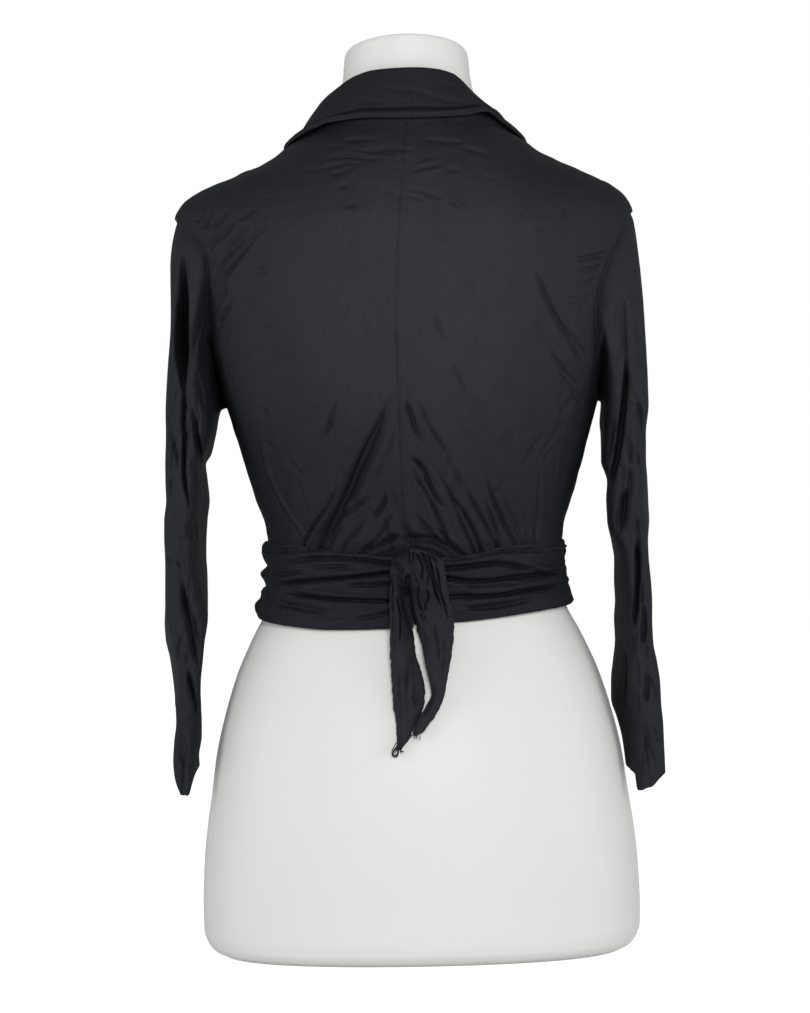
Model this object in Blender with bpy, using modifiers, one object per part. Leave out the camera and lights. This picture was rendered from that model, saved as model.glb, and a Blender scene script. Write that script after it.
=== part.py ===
# A soft wrap bolero on the limbless dress form that it is worn by.
# Metres, +Z up. The front faces -Y and the wearer's left is +X.
# The origin is the middle of the dress form's flat base.

import math

import bmesh
import bpy
import numpy as np

NAME = "wrap_bolero"

# Driving dimensions
WALL = 0.0012  # thickness of the cloth
GAP = 0.0008  # between the outer faces of two pieces at a seam
LIFT = 0.0032  # outer face of the first layer of cloth above the form
LAYER = 0.0042  # from one layer's outer face to the next one's
FRONT_LIFT = 0.0012  # the fronts hang a little further off than the back
FRONT_LIFT_TURNS = (math.radians(100), math.radians(112))  # where the front's lift sets in
TIP_LIFT = 0.0022  # the cloth stands further off at the shoulder tip
NECK_SEAM_Z = 0.6600
SHOULDER_TIP_Z = 0.5965
UNDERARM_Z = 0.4410
HEM_Z = 0.2880
CROSSING_Z = 0.4300  # where the two fronts cross
ARMHOLE_Y = -0.006  # middle of the armhole, seen from the side
BUST = 0.0215
BUST_CLEAR = 0.0024  # the cloth's extra fullness over the bust
BUST_X, BUST_Z = 0.070, 0.468
BUST_WIDTH, BUST_HEIGHT = 0.046, 0.050
NECK_TILT = 0.185  # slope of the neck's flat top, lower at the front
SHOULDER_TILT = 0.010  # the left shoulder stands a little lower

# Grid of each piece
BACK_COLUMNS = 10
FRONT_COLUMNS = 15
SHOULDER_HEIGHTS = (NECK_SEAM_Z, 0.6500, 0.6400, 0.6300, 0.6200, 0.6110, 0.6035)
ARMHOLE_STEPS = 8
SIDE_ROWS = 8
FORM_TURNS = 28
BAND_COLUMNS = 10
BAND_STEP = 12  # degrees between a tie's sections
CAP_ROWS = 6
TAIL_COLUMNS = 8

FORM_COLUMNS = ("height", "half_width", "back", "front", "fullness")
FORM = (
    (0.0000, 0.1600, 0.1010, 0.0940, 0.09),
    (0.0040, 0.1680, 0.1090, 0.1020, 0.10),
    (0.0100, 0.1730, 0.1140, 0.1070, 0.10),
    (0.0200, 0.1762, 0.1165, 0.1095, 0.10),
    (0.0400, 0.1765, 0.1175, 0.1105, 0.10),
    (0.0720, 0.1752, 0.1190, 0.1130, 0.10),
    (0.1050, 0.1718, 0.1190, 0.1145, 0.10),
    (0.1290, 0.1681, 0.1175, 0.1145, 0.10),
    (0.1610, 0.1636, 0.1130, 0.1120, 0.09),
    (0.1940, 0.1558, 0.1060, 0.1080, 0.09),
    (0.2260, 0.1456, 0.0975, 0.1020, 0.08),
    (0.2420, 0.1387, 0.0932, 0.0988, 0.08),
    (0.2584, 0.1316, 0.0895, 0.0955, 0.07),
    (0.2750, 0.1245, 0.0862, 0.0925, 0.06),
    (0.2950, 0.1180, 0.0835, 0.0892, 0.06),
    (0.3150, 0.1160, 0.0820, 0.0875, 0.05),
    (0.3394, 0.1170, 0.0825, 0.0880, 0.05),
    (0.3720, 0.1258, 0.0855, 0.0915, 0.06),
    (0.4040, 0.1347, 0.0895, 0.0965, 0.07),
    (0.4366, 0.1445, 0.0935, 0.1010, 0.08),
    (0.4700, 0.1535, 0.0965, 0.1035, 0.09),
    (0.5000, 0.1602, 0.0980, 0.1030, 0.10),
    (0.5300, 0.1660, 0.0985, 0.0990, 0.10),
    (0.5500, 0.1708, 0.0980, 0.0955, 0.10),
    (0.5700, 0.1755, 0.0965, 0.0915, 0.09),
    (0.5850, 0.1780, 0.0950, 0.0880, 0.08),
    (0.5970, 0.1768, 0.0925, 0.0855, 0.07),
    (0.6050, 0.1730, 0.0905, 0.0830, 0.05),
    (0.6115, 0.1665, 0.0890, 0.0815, 0.04),
    (0.6196, 0.1515, 0.0865, 0.0790, 0.03),
    (0.6277, 0.1335, 0.0835, 0.0765, 0.02),
    (0.6358, 0.1160, 0.0805, 0.0730, 0.00),
    (0.6439, 0.1020, 0.0775, 0.0690, 0.00),
    (0.6520, 0.0900, 0.0745, 0.0650, 0.00),
    (0.6600, 0.0785, 0.0712, 0.0615, 0.00),
    (0.6680, 0.0690, 0.0680, 0.0585, 0.00),
    (0.6780, 0.0605, 0.0642, 0.0560, 0.00),
    (0.6900, 0.0545, 0.0600, 0.0540, 0.00),
    (0.7050, 0.0515, 0.0565, 0.0525, 0.00),
    (0.7206, 0.0500, 0.0547, 0.0512, 0.00),
    (0.7236, 0.0488, 0.0535, 0.0500, 0.00),
    (0.7246, 0.0455, 0.0500, 0.0467, 0.00),
)

# What differs between the wearer's two sides. The garment hangs turned a little
# to the left, so its right armhole is pulled towards the back.
SIDES = {
    "left": {"mirror": 1, "overhang": 0.0080, "back_reach": 0.036, "front_reach": 0.046},
    "right": {"mirror": -1, "overhang": 0.0005, "back_reach": 0.052, "front_reach": 0.036},
}

# Where the centre back seam runs, towards the wearer's left
BACK_SEAM = (
    # height, x
    (HEM_Z, 0.0080),
    (0.345, 0.0085),
    (0.390, 0.0092),
    (0.490, 0.0108),
    (0.545, 0.0096),
    (0.605, 0.0062),
    (NECK_SEAM_Z, 0.0020),
)

# The edge of a front, from its own side over the crossing to the other side
FRONT_EDGE = (
    # height, distance from the middle towards the front's own side
    (HEM_Z, -0.1040),
    (0.335, -0.0990),
    (0.350, -0.0820),
    (0.375, -0.0520),
    (0.402, -0.0240),
    (CROSSING_Z, 0.0000),
    (0.500, 0.0265),
    (0.550, 0.0430),
    (0.600, 0.0575),
    (0.640, 0.0665),
    (0.655, 0.0710),
    (NECK_SEAM_Z, 0.0783),
)
LEVEL_OUT = 0.8  # 1 brings the rows of a front level where they reach its side
FRONT_EDGE_HEIGHTS = (
    0.6599, 0.6588, 0.6568, 0.6535, 0.6440, 0.6260, 0.5980, 0.5560, 0.5080,
    0.4640, CROSSING_Z, 0.4030, 0.3820, 0.3640, 0.3470, 0.3220, HEM_Z,
)  # fmt: skip

# The collar's section along its seam with the body, from the centre back. It
# stands up from the seam, folds over, and falls towards the body.
COLLAR_SEAM_X = -0.0035
COLLAR_ENDS = {"left": 0.4560, "right": 0.3560}  # height of each half's lower end
COLLAR_FOLD = 0.0028  # radius of the fold
COLLAR_GAP = 0.0011
UNDER_SLANT = 0.50  # the under collar ends along the over collar's fold
SLANT_REACH = 0.070  # how far up the under collar its slanted end sets in
STRAIGHT_REACH = 0.030  # how far the seam at the centre back pulls the collar straight
COLLAR = (
    # distance along the seam, stand, how far out the fold is, fall, how far out its edge is
    (0.000, 0.0470, 0.0085, -0.0070, 0.0125),
    (0.022, 0.0465, 0.0090, -0.0060, 0.0130),
    (0.048, 0.0430, 0.0120, 0.0020, 0.0125),
    (0.072, 0.0370, 0.0150, 0.0120, 0.0095),
    (0.096, 0.0300, 0.0155, 0.0220, 0.0065),
    (0.134, 0.0200, 0.0120, 0.0310, 0.0060),
    (0.190, 0.0140, 0.0085, 0.0340, 0.0060),
    (0.290, 0.0120, 0.0070, 0.0330, 0.0060),
    (0.380, 0.0105, 0.0065, 0.0270, 0.0058),
    (0.480, 0.0080, 0.0060, 0.0150, 0.0056),
)

# A flattened sleeve, in sections down from the armhole. Broad is front to back
# before the section is turned, and a turn swings its back edge outwards.
SLEEVES = {
    "left": (
        # height, x, y, half thin, half broad, turn in degrees
        (0.420, 0.1795, -0.004, 0.0195, 0.0570, 0),
        (0.385, 0.1838, -0.004, 0.0176, 0.0565, 3),
        (0.350, 0.1850, -0.005, 0.0170, 0.0550, 6),
        (0.315, 0.1860, -0.006, 0.0176, 0.0535, 4),
        (0.280, 0.1863, -0.007, 0.0170, 0.0515, -3),
        (0.245, 0.1875, -0.007, 0.0135, 0.0500, -8),
        (0.212, 0.1872, -0.006, 0.0102, 0.0490, -6),
        (0.180, 0.1868, -0.004, 0.0112, 0.0480, 2),
        (0.155, 0.1880, -0.002, 0.0100, 0.0470, 4),
        (0.133, 0.1888, -0.001, 0.0085, 0.0460, 3),
    ),
    "right": (
        (0.420, 0.1708, -0.004, 0.0188, 0.0570, 0),
        (0.385, 0.1712, -0.004, 0.0185, 0.0565, -4),
        (0.350, 0.1724, -0.005, 0.0160, 0.0550, -6),
        (0.315, 0.1748, -0.006, 0.0152, 0.0535, 2),
        (0.280, 0.1758, -0.006, 0.0150, 0.0515, 5),
        (0.245, 0.1769, -0.005, 0.0138, 0.0500, 10),
        (0.212, 0.1772, -0.003, 0.0110, 0.0480, 20),
        (0.180, 0.1800, -0.001, 0.0088, 0.0465, 20),
        (0.155, 0.1818, 0.000, 0.0080, 0.0455, 18),
        (0.133, 0.1818, 0.000, 0.0078, 0.0450, 16),
    ),
}
# How the sleeve leaves its seam, and how it arrives at its first section
CAP_TOP = {"leave": (0.030, 0, -0.050), "arrive": (0, 0, -0.150)}
CAP_BOTTOM = {"leave": (0.034, 0, 0.010), "arrive": (0, 0, -0.030)}

# The ties round the waist: turn from the centre back, lower and upper edge
BAND_CLEAR = 0.0028  # outer face of a tie above the cloth that it lies on
BAND_FOLD = 0.0020
BAND_FOLDS = 3
FRONT_LAYER_TURNS = (78, 100)  # degrees over which a tie climbs onto the over front
BANDS = {
    "left": (
        # turn in degrees, lower edge, upper edge
        (3, 0.2625, 0.3172),
        (30, 0.2615, 0.3244),
        (50, 0.2637, 0.3298),
        (75, 0.2680, 0.3325),
        (90, 0.2715, 0.3330),
        (120, 0.2700, 0.3340),
        (180, 0.2670, 0.3345),
        (240, 0.2715, 0.3325),
        (264, 0.2765, 0.3315),
    ),
    "right": (
        (-1, 0.2655, 0.3177),
        (16, 0.2667, 0.3190),
        (30, 0.2690, 0.3240),
        (50, 0.2724, 0.3299),
        (75, 0.2755, 0.3312),
        (92, 0.2772, 0.3300),
    ),
}
# The knot at the centre back, and the two tails that hang from it
KNOT = {
    "x": -0.0010,
    "y": 0.1001,
    "z": 0.3080,
    "half_x": 0.0215,
    "half_y": 0.0100,
    "half_z": 0.0165,
}
TAIL_PLEAT = 0.0010
TAIL_CURL = 0.0030  # the edges of a tail lie this much closer to the form
TAIL_FULL_WIDTH = 0.020
TAILS = {
    "left": (
        # height, y, left edge, right edge
        (0.2960, 0.1000, 0.0198, 0.0090),
        (0.2853, 0.1010, 0.0208, 0.0088),
        (0.2752, 0.1025, 0.0213, 0.0060),
        (0.2627, 0.1040, 0.0212, 0.0021),
        (0.2416, 0.1055, 0.0210, 0.0015),
        (0.2182, 0.1080, 0.0200, -0.0040),
        (0.2100, 0.1090, 0.0196, -0.0048),
        (0.1948, 0.1110, 0.0186, -0.0012),
        (0.1800, 0.1132, 0.0174, 0.0060),
        (0.1720, 0.1142, 0.0168, 0.0105),
        (0.1655, 0.1150, 0.0190, 0.0150),
    ),
    "right": (
        (0.3290, 0.0975, 0.0040, -0.0140),
        (0.3280, 0.1050, 0.0050, -0.0165),
        (0.3225, 0.1117, 0.0058, -0.0195),
        (0.3130, 0.1138, 0.0060, -0.0220),
        (0.2937, 0.1132, 0.0054, -0.0240),
        (0.2712, 0.1095, 0.0000, -0.0287),
        (0.2556, 0.1085, -0.0012, -0.0284),
        (0.2347, 0.1085, -0.0058, -0.0246),
        (0.2136, 0.1100, -0.0098, -0.0205),
        (0.2010, 0.1112, -0.0070, -0.0155),
        (0.1900, 0.1130, -0.0022, -0.0095),
        (0.1800, 0.1150, 0.0035, -0.0010),
    ),
}


def column(table, index):
    return np.array([row[index] for row in table])


def smooth(knots, values, at):
    """A smooth line through the knots that never overshoots them."""
    knots = np.asarray(knots, float)
    values = np.asarray(values, float)
    rise = np.diff(values) / np.diff(knots)
    slopes = np.concatenate([rise[:1], np.zeros(len(knots) - 2), rise[-1:]])
    before, after = rise[:-1], rise[1:]
    same = before * after > 0
    slopes[1:-1][same] = 2 * before[same] * after[same] / (before + after)[same]
    at = np.clip(at, knots[0], knots[-1])
    i = np.clip(np.searchsorted(knots, at, side="right") - 1, 0, len(knots) - 2)
    step = knots[i + 1] - knots[i]
    u = (at - knots[i]) / step
    return (
        values[i] * (1 + 2 * u) * (1 - u) ** 2
        + values[i + 1] * u * u * (3 - 2 * u)
        + step * u * (1 - u) * (slopes[i] * (1 - u) - slopes[i + 1] * u)
    )


def ease(low, high, at):
    u = np.clip((at - low) / (high - low), 0, 1)
    return u * u * (3 - 2 * u)


def form_size(height, name):
    return smooth(column(FORM, 0), column(FORM, FORM_COLUMNS.index(name)), height)


def body(turn, height, bridge=False):
    """Points of the form: turn 0 is centre back, a quarter turn the side and a half the front.
    With bridge, the front goes straight from one side of the bust to the other, as cloth does."""
    turn, height = np.broadcast_arrays(turn, height)
    sine, cosine = np.sin(turn), np.cos(turn)
    full = form_size(height, "fullness")
    depth = np.where(cosine > 0, form_size(height, "back"), form_size(height, "front"))
    x = form_size(height, "half_width") * sine * (1 + full * cosine**2)
    y = depth * cosine * (1 + full * sine**2)
    aside = np.abs(x) - BUST_X
    if bridge:
        aside = np.maximum(aside, 0)
    swell = np.exp(-((aside / BUST_WIDTH) ** 2) - ((height - BUST_Z) / BUST_HEIGHT) ** 2)
    swell = swell * (BUST + BUST_CLEAR if bridge else BUST)
    y = y - swell * ease(0, 0.35, -cosine)
    z = height + NECK_TILT * y * ease(0.69, 0.72, height)
    return np.stack([x, y, z], axis=-1)


def outward(turn, height, bridge=False):
    step_turn, step_height = 1e-3, 1e-4
    along = body(turn + step_turn, height, bridge) - body(turn - step_turn, height, bridge)
    up = body(turn, height + step_height, bridge) - body(turn, height - step_height, bridge)
    normal = np.cross(up, along)
    return normal / np.linalg.norm(normal, axis=-1, keepdims=True)


def over_body(turn, height, lift):
    """Points of the cloth, lifted off the form along its normal."""
    base = body(turn, height, True)
    tip = ease(0.140, 0.172, np.abs(base[..., 0])) * ease(0.55, 0.59, base[..., 2])
    return base + outward(turn, height, True) * (lift + TIP_LIFT * tip)[..., None]


def unfull(ratio, full):
    """Solves value * (1 + full * (1 - value ** 2)) = ratio."""
    value = np.clip(ratio, -1, 1)
    for _ in range(20):
        value = np.clip(ratio / (1 + full * (1 - value**2)), -1, 1)
    return value


def turn_at_y(y, height):
    """The turn, on the left side, where the form has this y."""
    depth = np.where(y > 0, form_size(height, "back"), form_size(height, "front"))
    return np.arccos(unfull(y / depth, form_size(height, "fullness")))


def turn_at_x(x, height):
    """The turn on the front where the form has this x."""
    half = form_size(height, "half_width")
    return math.pi - np.arcsin(unfull(x / half, form_size(height, "fullness")))


def near_turn(points):
    depth = np.where(
        points[..., 1] > 0, form_size(points[..., 2], "back"), form_size(points[..., 2], "front")
    )
    half = form_size(points[..., 2], "half_width")
    return np.arctan2(points[..., 0] / half, points[..., 1] / depth)


def settle(points, lift):
    """Moves points square to the form until they are this far above it."""
    for _ in range(8):
        turn, height = near_turn(points), points[..., 2]
        normal = outward(turn, height, True)
        above = ((points - body(turn, height, True)) * normal).sum(axis=-1)
        points = points + normal * (lift - above)[..., None]
    return points


# The pieces of one side are worked out on the left, and set_side takes them to their own side.
def set_side(points, side):
    """Takes cloth to its side, with the sleeve head's overhang and the tilt of the shoulders."""
    points = np.array(points, float)
    near_tip = ease(0.120, 0.176, points[..., 0]) * ease(0.50, 0.58, points[..., 2])
    points[..., 0] += side["overhang"] * near_tip
    points[..., 0] *= side["mirror"]
    return tilted(points)


def tilted(points):
    points = np.array(points, float)
    points[..., 2] -= SHOULDER_TILT * points[..., 0] * ease(0.50, 0.60, points[..., 2])
    return points


def armhole(side, u):
    """Turn and height round the armhole: u is 0 at the shoulder tip and goes down the back."""
    middle = (SHOULDER_TIP_Z + UNDERARM_Z) / 2
    height = middle + (SHOULDER_TIP_Z - UNDERARM_Z) / 2 * np.cos(u)
    reach = np.where(np.sin(u) > 0, side["back_reach"], side["front_reach"])
    y = ARMHOLE_Y + reach * np.sin(u)
    return turn_at_y(y, height), height


def side_heights():
    return np.linspace(UNDERARM_Z, HEM_Z, SIDE_ROWS + 1)[1:]


def outer_edge(side, back):
    """The armhole and the side seam of a panel, from the shoulder tip to the hem."""
    steps = np.linspace(0, math.pi, ARMHOLE_STEPS + 1)
    turn, height = armhole(side, steps if back else -steps)
    low = side_heights()
    return (
        np.concatenate([turn, turn_at_y(np.full(len(low), ARMHOLE_Y), low)]),
        np.concatenate([height, low]),
    )


def back_panel(side):
    """Half of the back, from the centre back seam to the shoulder, the armhole and the side."""
    ridge_height = np.array(SHOULDER_HEIGHTS)
    ridge_turn = turn_at_y(np.full(len(ridge_height), ARMHOLE_Y), ridge_height)
    edge_turn, edge_height = outer_edge(side, True)
    height = np.concatenate([ridge_height, edge_height])
    end = np.concatenate([ridge_turn, edge_turn])
    seam_x = smooth(column(BACK_SEAM, 0), column(BACK_SEAM, 1), height)
    half = form_size(height, "half_width")
    start = np.arcsin((seam_x * side["mirror"] + GAP / 2) / half)
    across = np.linspace(0, 1, BACK_COLUMNS)
    turn = start[:, None] + (end - start)[:, None] * across
    return over_body(turn, height[:, None] * np.ones_like(turn), first_lift(turn))


def first_lift(turn):
    """The first layer of cloth lies closer at the back than at the front."""
    return LIFT + FRONT_LIFT * ease(*FRONT_LIFT_TURNS, turn)


def front_edge_x(height):
    return smooth(column(FRONT_EDGE, 0), column(FRONT_EDGE, 1), height)


def front_lift(turn, height, over):
    """The over front rises where the under front lies beneath it."""
    lift = first_lift(turn)
    if not over:
        return lift
    x = body(turn, height, True)[..., 0]
    under_edge = -front_edge_x(height)
    return lift + LAYER * ease(under_edge + 0.022, under_edge + 0.004, x)


def front_panel(side, over):
    """A front, from its shoulder, armhole and side seams to its edge."""
    outer_turn, outer_height = outer_edge(side, False)
    inner_height = np.array(FRONT_EDGE_HEIGHTS)
    inner_turn = turn_at_x(front_edge_x(inner_height), inner_height)
    across = np.linspace(0, 1, FRONT_COLUMNS)
    turn = inner_turn[:, None] + (outer_turn - inner_turn)[:, None] * across
    level = across * (1 + LEVEL_OUT * (1 - across))
    height = inner_height[:, None] + (outer_height - inner_height)[:, None] * level
    # The top row is the shoulder seam, and the rows below it follow its slope less and less.
    ridge = back_panel(side)[: len(SHOULDER_HEIGHTS) + 1, -1]
    out = (ridge[:, 0] - ridge[0, 0]) / (ridge[-1, 0] - ridge[0, 0])
    slope = np.interp(across, out, (*SHOULDER_HEIGHTS, SHOULDER_TIP_Z)) - height[0]
    follow = np.clip(1 - np.arange(len(height)) / ARMHOLE_STEPS, 0, 1)
    height += slope * follow[:, None]
    points = over_body(turn, height, front_lift(turn, height, over))
    points[0] = np.stack([np.interp(across, out, ridge[:, k]) for k in range(3)], axis=-1)
    points[0, :, 1] -= GAP
    points[ARMHOLE_STEPS:, -1, 1] -= GAP
    return points


def along_line(points, share):
    """Points at these shares of the length of a line."""
    steps = np.linalg.norm(np.diff(points, axis=0), axis=1)
    far = np.concatenate([[0], np.cumsum(steps)]) / steps.sum()
    return np.stack([np.interp(share, far, points[:, k]) for k in range(3)], axis=-1)


def sleeve_section(row, u):
    """A flat oval: u is 0 at its outer side and goes round by the back."""
    height, x, y, thin, broad, turn = row
    turn = math.radians(turn)
    across, along = thin * np.cos(u), broad * np.sin(u)
    return np.stack(
        [
            x + across * math.cos(turn) + along * math.sin(turn),
            y + along * math.cos(turn) - across * math.sin(turn),
            np.full(len(u), height),
        ],
        axis=-1,
    )


def sleeve(side, rows):
    """The sleeve, from the armhole seam round the shoulder and down to the open cuff."""
    u = np.linspace(0, 2 * math.pi, 2 * ARMHOLE_STEPS, endpoint=False)
    turn, height = armhole(side, np.where(u > math.pi, u - 2 * math.pi, u))
    seam = over_body(turn, height, first_lift(turn))
    around = np.roll(seam, -1, axis=0) - np.roll(seam, 1, axis=0)
    inward = np.cross(around, outward(turn, height, True))
    inward /= np.linalg.norm(inward, axis=-1, keepdims=True)
    start = seam + inward * GAP
    first = sleeve_section(rows[0], u)
    top = ((1 + np.cos(u)) / 2)[:, None]
    leave, arrive = (
        top * np.array(CAP_TOP[k]) + (1 - top) * np.array(CAP_BOTTOM[k]) for k in ("leave", "arrive")
    )
    rings = []
    for share in np.linspace(0, 1, CAP_ROWS)[:-1]:
        rings.append(
            start * (1 + 2 * share) * (1 - share) ** 2
            + first * share**2 * (3 - 2 * share)
            + leave * share * (1 - share) ** 2
            - arrive * share**2 * (1 - share)
        )
    rings += [sleeve_section(row, u) for row in rows]
    return np.array(rings)


def collar_seam(side, over, end):
    """The line that half of the collar is sewn to, down to the height of its end."""
    back, front = back_panel(side), front_panel(side, over)[:, 0]
    bend, low = front[1:7], front[6:]
    far = np.concatenate([[0], np.cumsum(np.linalg.norm(np.diff(low, axis=0), axis=1))])
    share = np.interp(-end, -low[:, 2], far) / far[-1]
    return np.concatenate([back[0], bend, along_line(low, np.linspace(0, share, 8)[1:])])


def collar(side, over, end):
    """Half of the shawl collar, from the centre back seam down the edge of its front."""
    seam = collar_seam(side, over, end)
    turn = near_turn(seam)
    lift = front_lift(turn, seam[:, 2], over)
    normal = outward(turn, seam[:, 2], True)
    along = np.gradient(seam, axis=0)
    along /= np.linalg.norm(along, axis=-1, keepdims=True)
    down = np.cross(normal, along)
    far = np.concatenate([[0], np.cumsum(np.linalg.norm(np.diff(seam, axis=0), axis=1))])
    stand, out, fall, fall_out = (
        smooth(column(COLLAR, 0), column(COLLAR, k), far)[:, None] for k in range(1, 5)
    )
    rise = np.linspace(0, 1, 3)
    arc = np.radians([45, 90, 135])
    drop = np.linspace(0, 1, 4)
    fold_at = stand - COLLAR_FOLD
    b = np.concatenate(
        [
            -COLLAR_GAP - (fold_at - COLLAR_GAP) * rise,
            -fold_at - COLLAR_FOLD * np.sin(arc),
            -fold_at + (fold_at + fall) * drop,
        ],
        axis=1,
    )
    n = np.concatenate(
        [
            -WALL + (out - COLLAR_FOLD + WALL) * rise,
            out - COLLAR_FOLD * np.cos(arc),
            out + COLLAR_FOLD + (fall_out - out - COLLAR_FOLD) * drop,
        ],
        axis=1,
    )
    if not over:
        slanted = UNDER_SLANT * ease(far[-1] - SLANT_REACH, far[-1], far)[:, None]
        forward = slanted * np.maximum(b + fold_at, 0)
    else:
        forward = np.zeros_like(b)
    points = seam[:, None] + b[..., None] * down[:, None] + n[..., None] * normal[:, None]
    points = points + forward[..., None] * along[:, None]
    on_body = settle(points, lift[:, None] + n)
    weight = ease(-0.004, 0.008, b)[..., None]
    points = points * (1 - weight) + on_body * weight
    centre = side["mirror"] * COLLAR_SEAM_X + GAP / 2
    points[..., 0] += (centre - points[:1, :, 0]) * ease(STRAIGHT_REACH, 0, far)[:, None]
    return points


def band(side, rows, front):
    """A stretch of a tie round the waist, gathered in long folds."""
    turns = np.arange(rows[0][0], rows[-1][0] + BAND_STEP / 2, BAND_STEP)
    turns = np.linspace(rows[0][0], rows[-1][0], len(turns))
    low, high = (smooth(column(rows, 0), column(rows, k), turns)[:, None] for k in (1, 2))
    across = np.linspace(0, 1, BAND_COLUMNS)
    height = low + (high - low) * across
    turn = np.radians(turns)[:, None] * np.ones_like(height)
    lift = first_lift(turn) + BAND_CLEAR
    lift = lift + BAND_FOLD * np.abs(np.sin(BAND_FOLDS * math.pi * across))
    if front:
        lift = lift + LAYER * ease(*FRONT_LAYER_TURNS, turns)[:, None]
    return over_body(turn, height, lift)


def tail(rows, tucked):
    """A hanging end of a tie, with pleats that run down it."""
    across = np.linspace(0, 1, TAIL_COLUMNS)
    height, depth, left, right = (column(rows, k)[:, None] for k in range(4))
    x = left + (right - left) * across
    z = height + np.zeros_like(x)
    if tucked:
        aside = np.clip((x[0] - KNOT["x"]) / KNOT["half_x"], -1, 1)
        z[0] = KNOT["z"] - KNOT["half_z"] * np.sqrt(1 - aside**2) - GAP
    edge = (2 * across - 1) ** 2
    width = np.clip((left - right) / TAIL_FULL_WIDTH, 0.3, 1)
    y = depth + (TAIL_PLEAT * np.cos(4 * math.pi * across) - TAIL_CURL * edge) * width
    return np.stack([x, y, z], axis=-1)


# Objects


def clear_scene():
    for obj in list(bpy.data.objects):
        bpy.data.objects.remove(obj)


def new_material(name, color, roughness):
    material = bpy.data.materials.new(name)
    material.use_nodes = True
    shader = material.node_tree.nodes["Principled BSDF"]
    shader.inputs["Base Color"].default_value = (*color, 1.0)
    shader.inputs["Roughness"].default_value = roughness
    shader.inputs["Metallic"].default_value = 0.0
    return material


def mesh_object(name, points, faces, material, collection):
    mesh = bpy.data.meshes.new(name)
    mesh.from_pydata([tuple(map(float, p)) for p in points], [], faces)
    mesh.materials.append(material)
    mesh.shade_smooth()
    obj = bpy.data.objects.new(name, mesh)
    collection.objects.link(obj)
    return obj


def grid_faces(rows, columns, closed):
    """Quads of a grid; closed joins its last column to its first."""
    last = columns if closed else columns - 1
    faces = []
    for i in range(rows - 1):
        for j in range(last):
            k = (j + 1) % columns
            here, below = i * columns, (i + 1) * columns
            faces.append((here + j, below + j, below + k, here + k))
    return faces


def cloth_object(name, grid, flip, closed, material, collection):
    """A wall of cloth behind the grid of its outer face."""
    rows, columns = grid.shape[:2]
    faces = grid_faces(rows, columns, closed)
    if flip:
        faces = [face[::-1] for face in faces]
    obj = mesh_object(name, grid.reshape(-1, 3), faces, material, collection)
    wall = obj.modifiers.new("wall", "SOLIDIFY")
    wall.thickness = WALL
    wall.offset = -1
    return obj


def form_object(material, collection):
    turns = np.linspace(0, 2 * math.pi, FORM_TURNS, endpoint=False)
    heights = column(FORM, 0)
    rings = tilted(body(turns[None, :] * np.ones((len(heights), 1)), heights[:, None]))
    points = rings.reshape(-1, 3)
    top = rings[-1].mean(axis=0)
    low = rings[0].mean(axis=0)
    points = np.concatenate([points, [low, top]])
    faces = grid_faces(len(heights), FORM_TURNS, True)
    bottom, last = len(points) - 2, (len(heights) - 1) * FORM_TURNS
    for j in range(FORM_TURNS):
        k = (j + 1) % FORM_TURNS
        faces.append((bottom, j, k))
        faces.append((bottom + 1, last + k, last + j))
    return mesh_object("dress_form", points, faces, material, collection)


def knot_object(material, collection):
    mesh = bpy.data.meshes.new("knot")
    shape = bmesh.new()
    bmesh.ops.create_uvsphere(shape, u_segments=14, v_segments=8, radius=1.0)
    bmesh.ops.scale(shape, vec=(KNOT["half_x"], KNOT["half_y"], KNOT["half_z"]), verts=shape.verts)
    shape.to_mesh(mesh)
    shape.free()
    mesh.materials.append(material)
    mesh.shade_smooth()
    obj = bpy.data.objects.new("knot", mesh)
    obj.location = (KNOT["x"], KNOT["y"], KNOT["z"])
    collection.objects.link(obj)
    return obj


def main():
    clear_scene()
    collection = bpy.data.collections.new(NAME)
    bpy.context.scene.collection.children.link(collection)
    cloth = new_material("black_jersey", (0.020, 0.021, 0.024), 0.85)
    plaster = new_material("white_form", (0.78, 0.78, 0.75), 0.55)
    form_object(plaster, collection)
    for name, side in SIDES.items():
        right = side["mirror"] < 0
        pieces = {
            # grid, whether its faces turn over on the left, whether it is a tube
            "back_": (back_panel(side), True, False),
            "front_": (front_panel(side, right), False, False),
            "sleeve_": (sleeve(side, SLEEVES[name]), False, True),
            "collar_": (collar(side, right, COLLAR_ENDS[name]), False, False),
            "tie_band_": (band(side, BANDS[name], name == "left"), True, False),
        }
        for piece, (grid, turned, tube) in pieces.items():
            grid = set_side(grid, side)
            cloth_object(piece + name, grid, turned != right, tube, cloth, collection)
    cloth_object("tail_left", tail(TAILS["left"], True), False, False, cloth, collection)
    cloth_object("tail_right", tail(TAILS["right"], False), False, False, cloth, collection)
    knot_object(cloth, collection)


main()
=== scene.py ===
import math

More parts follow.
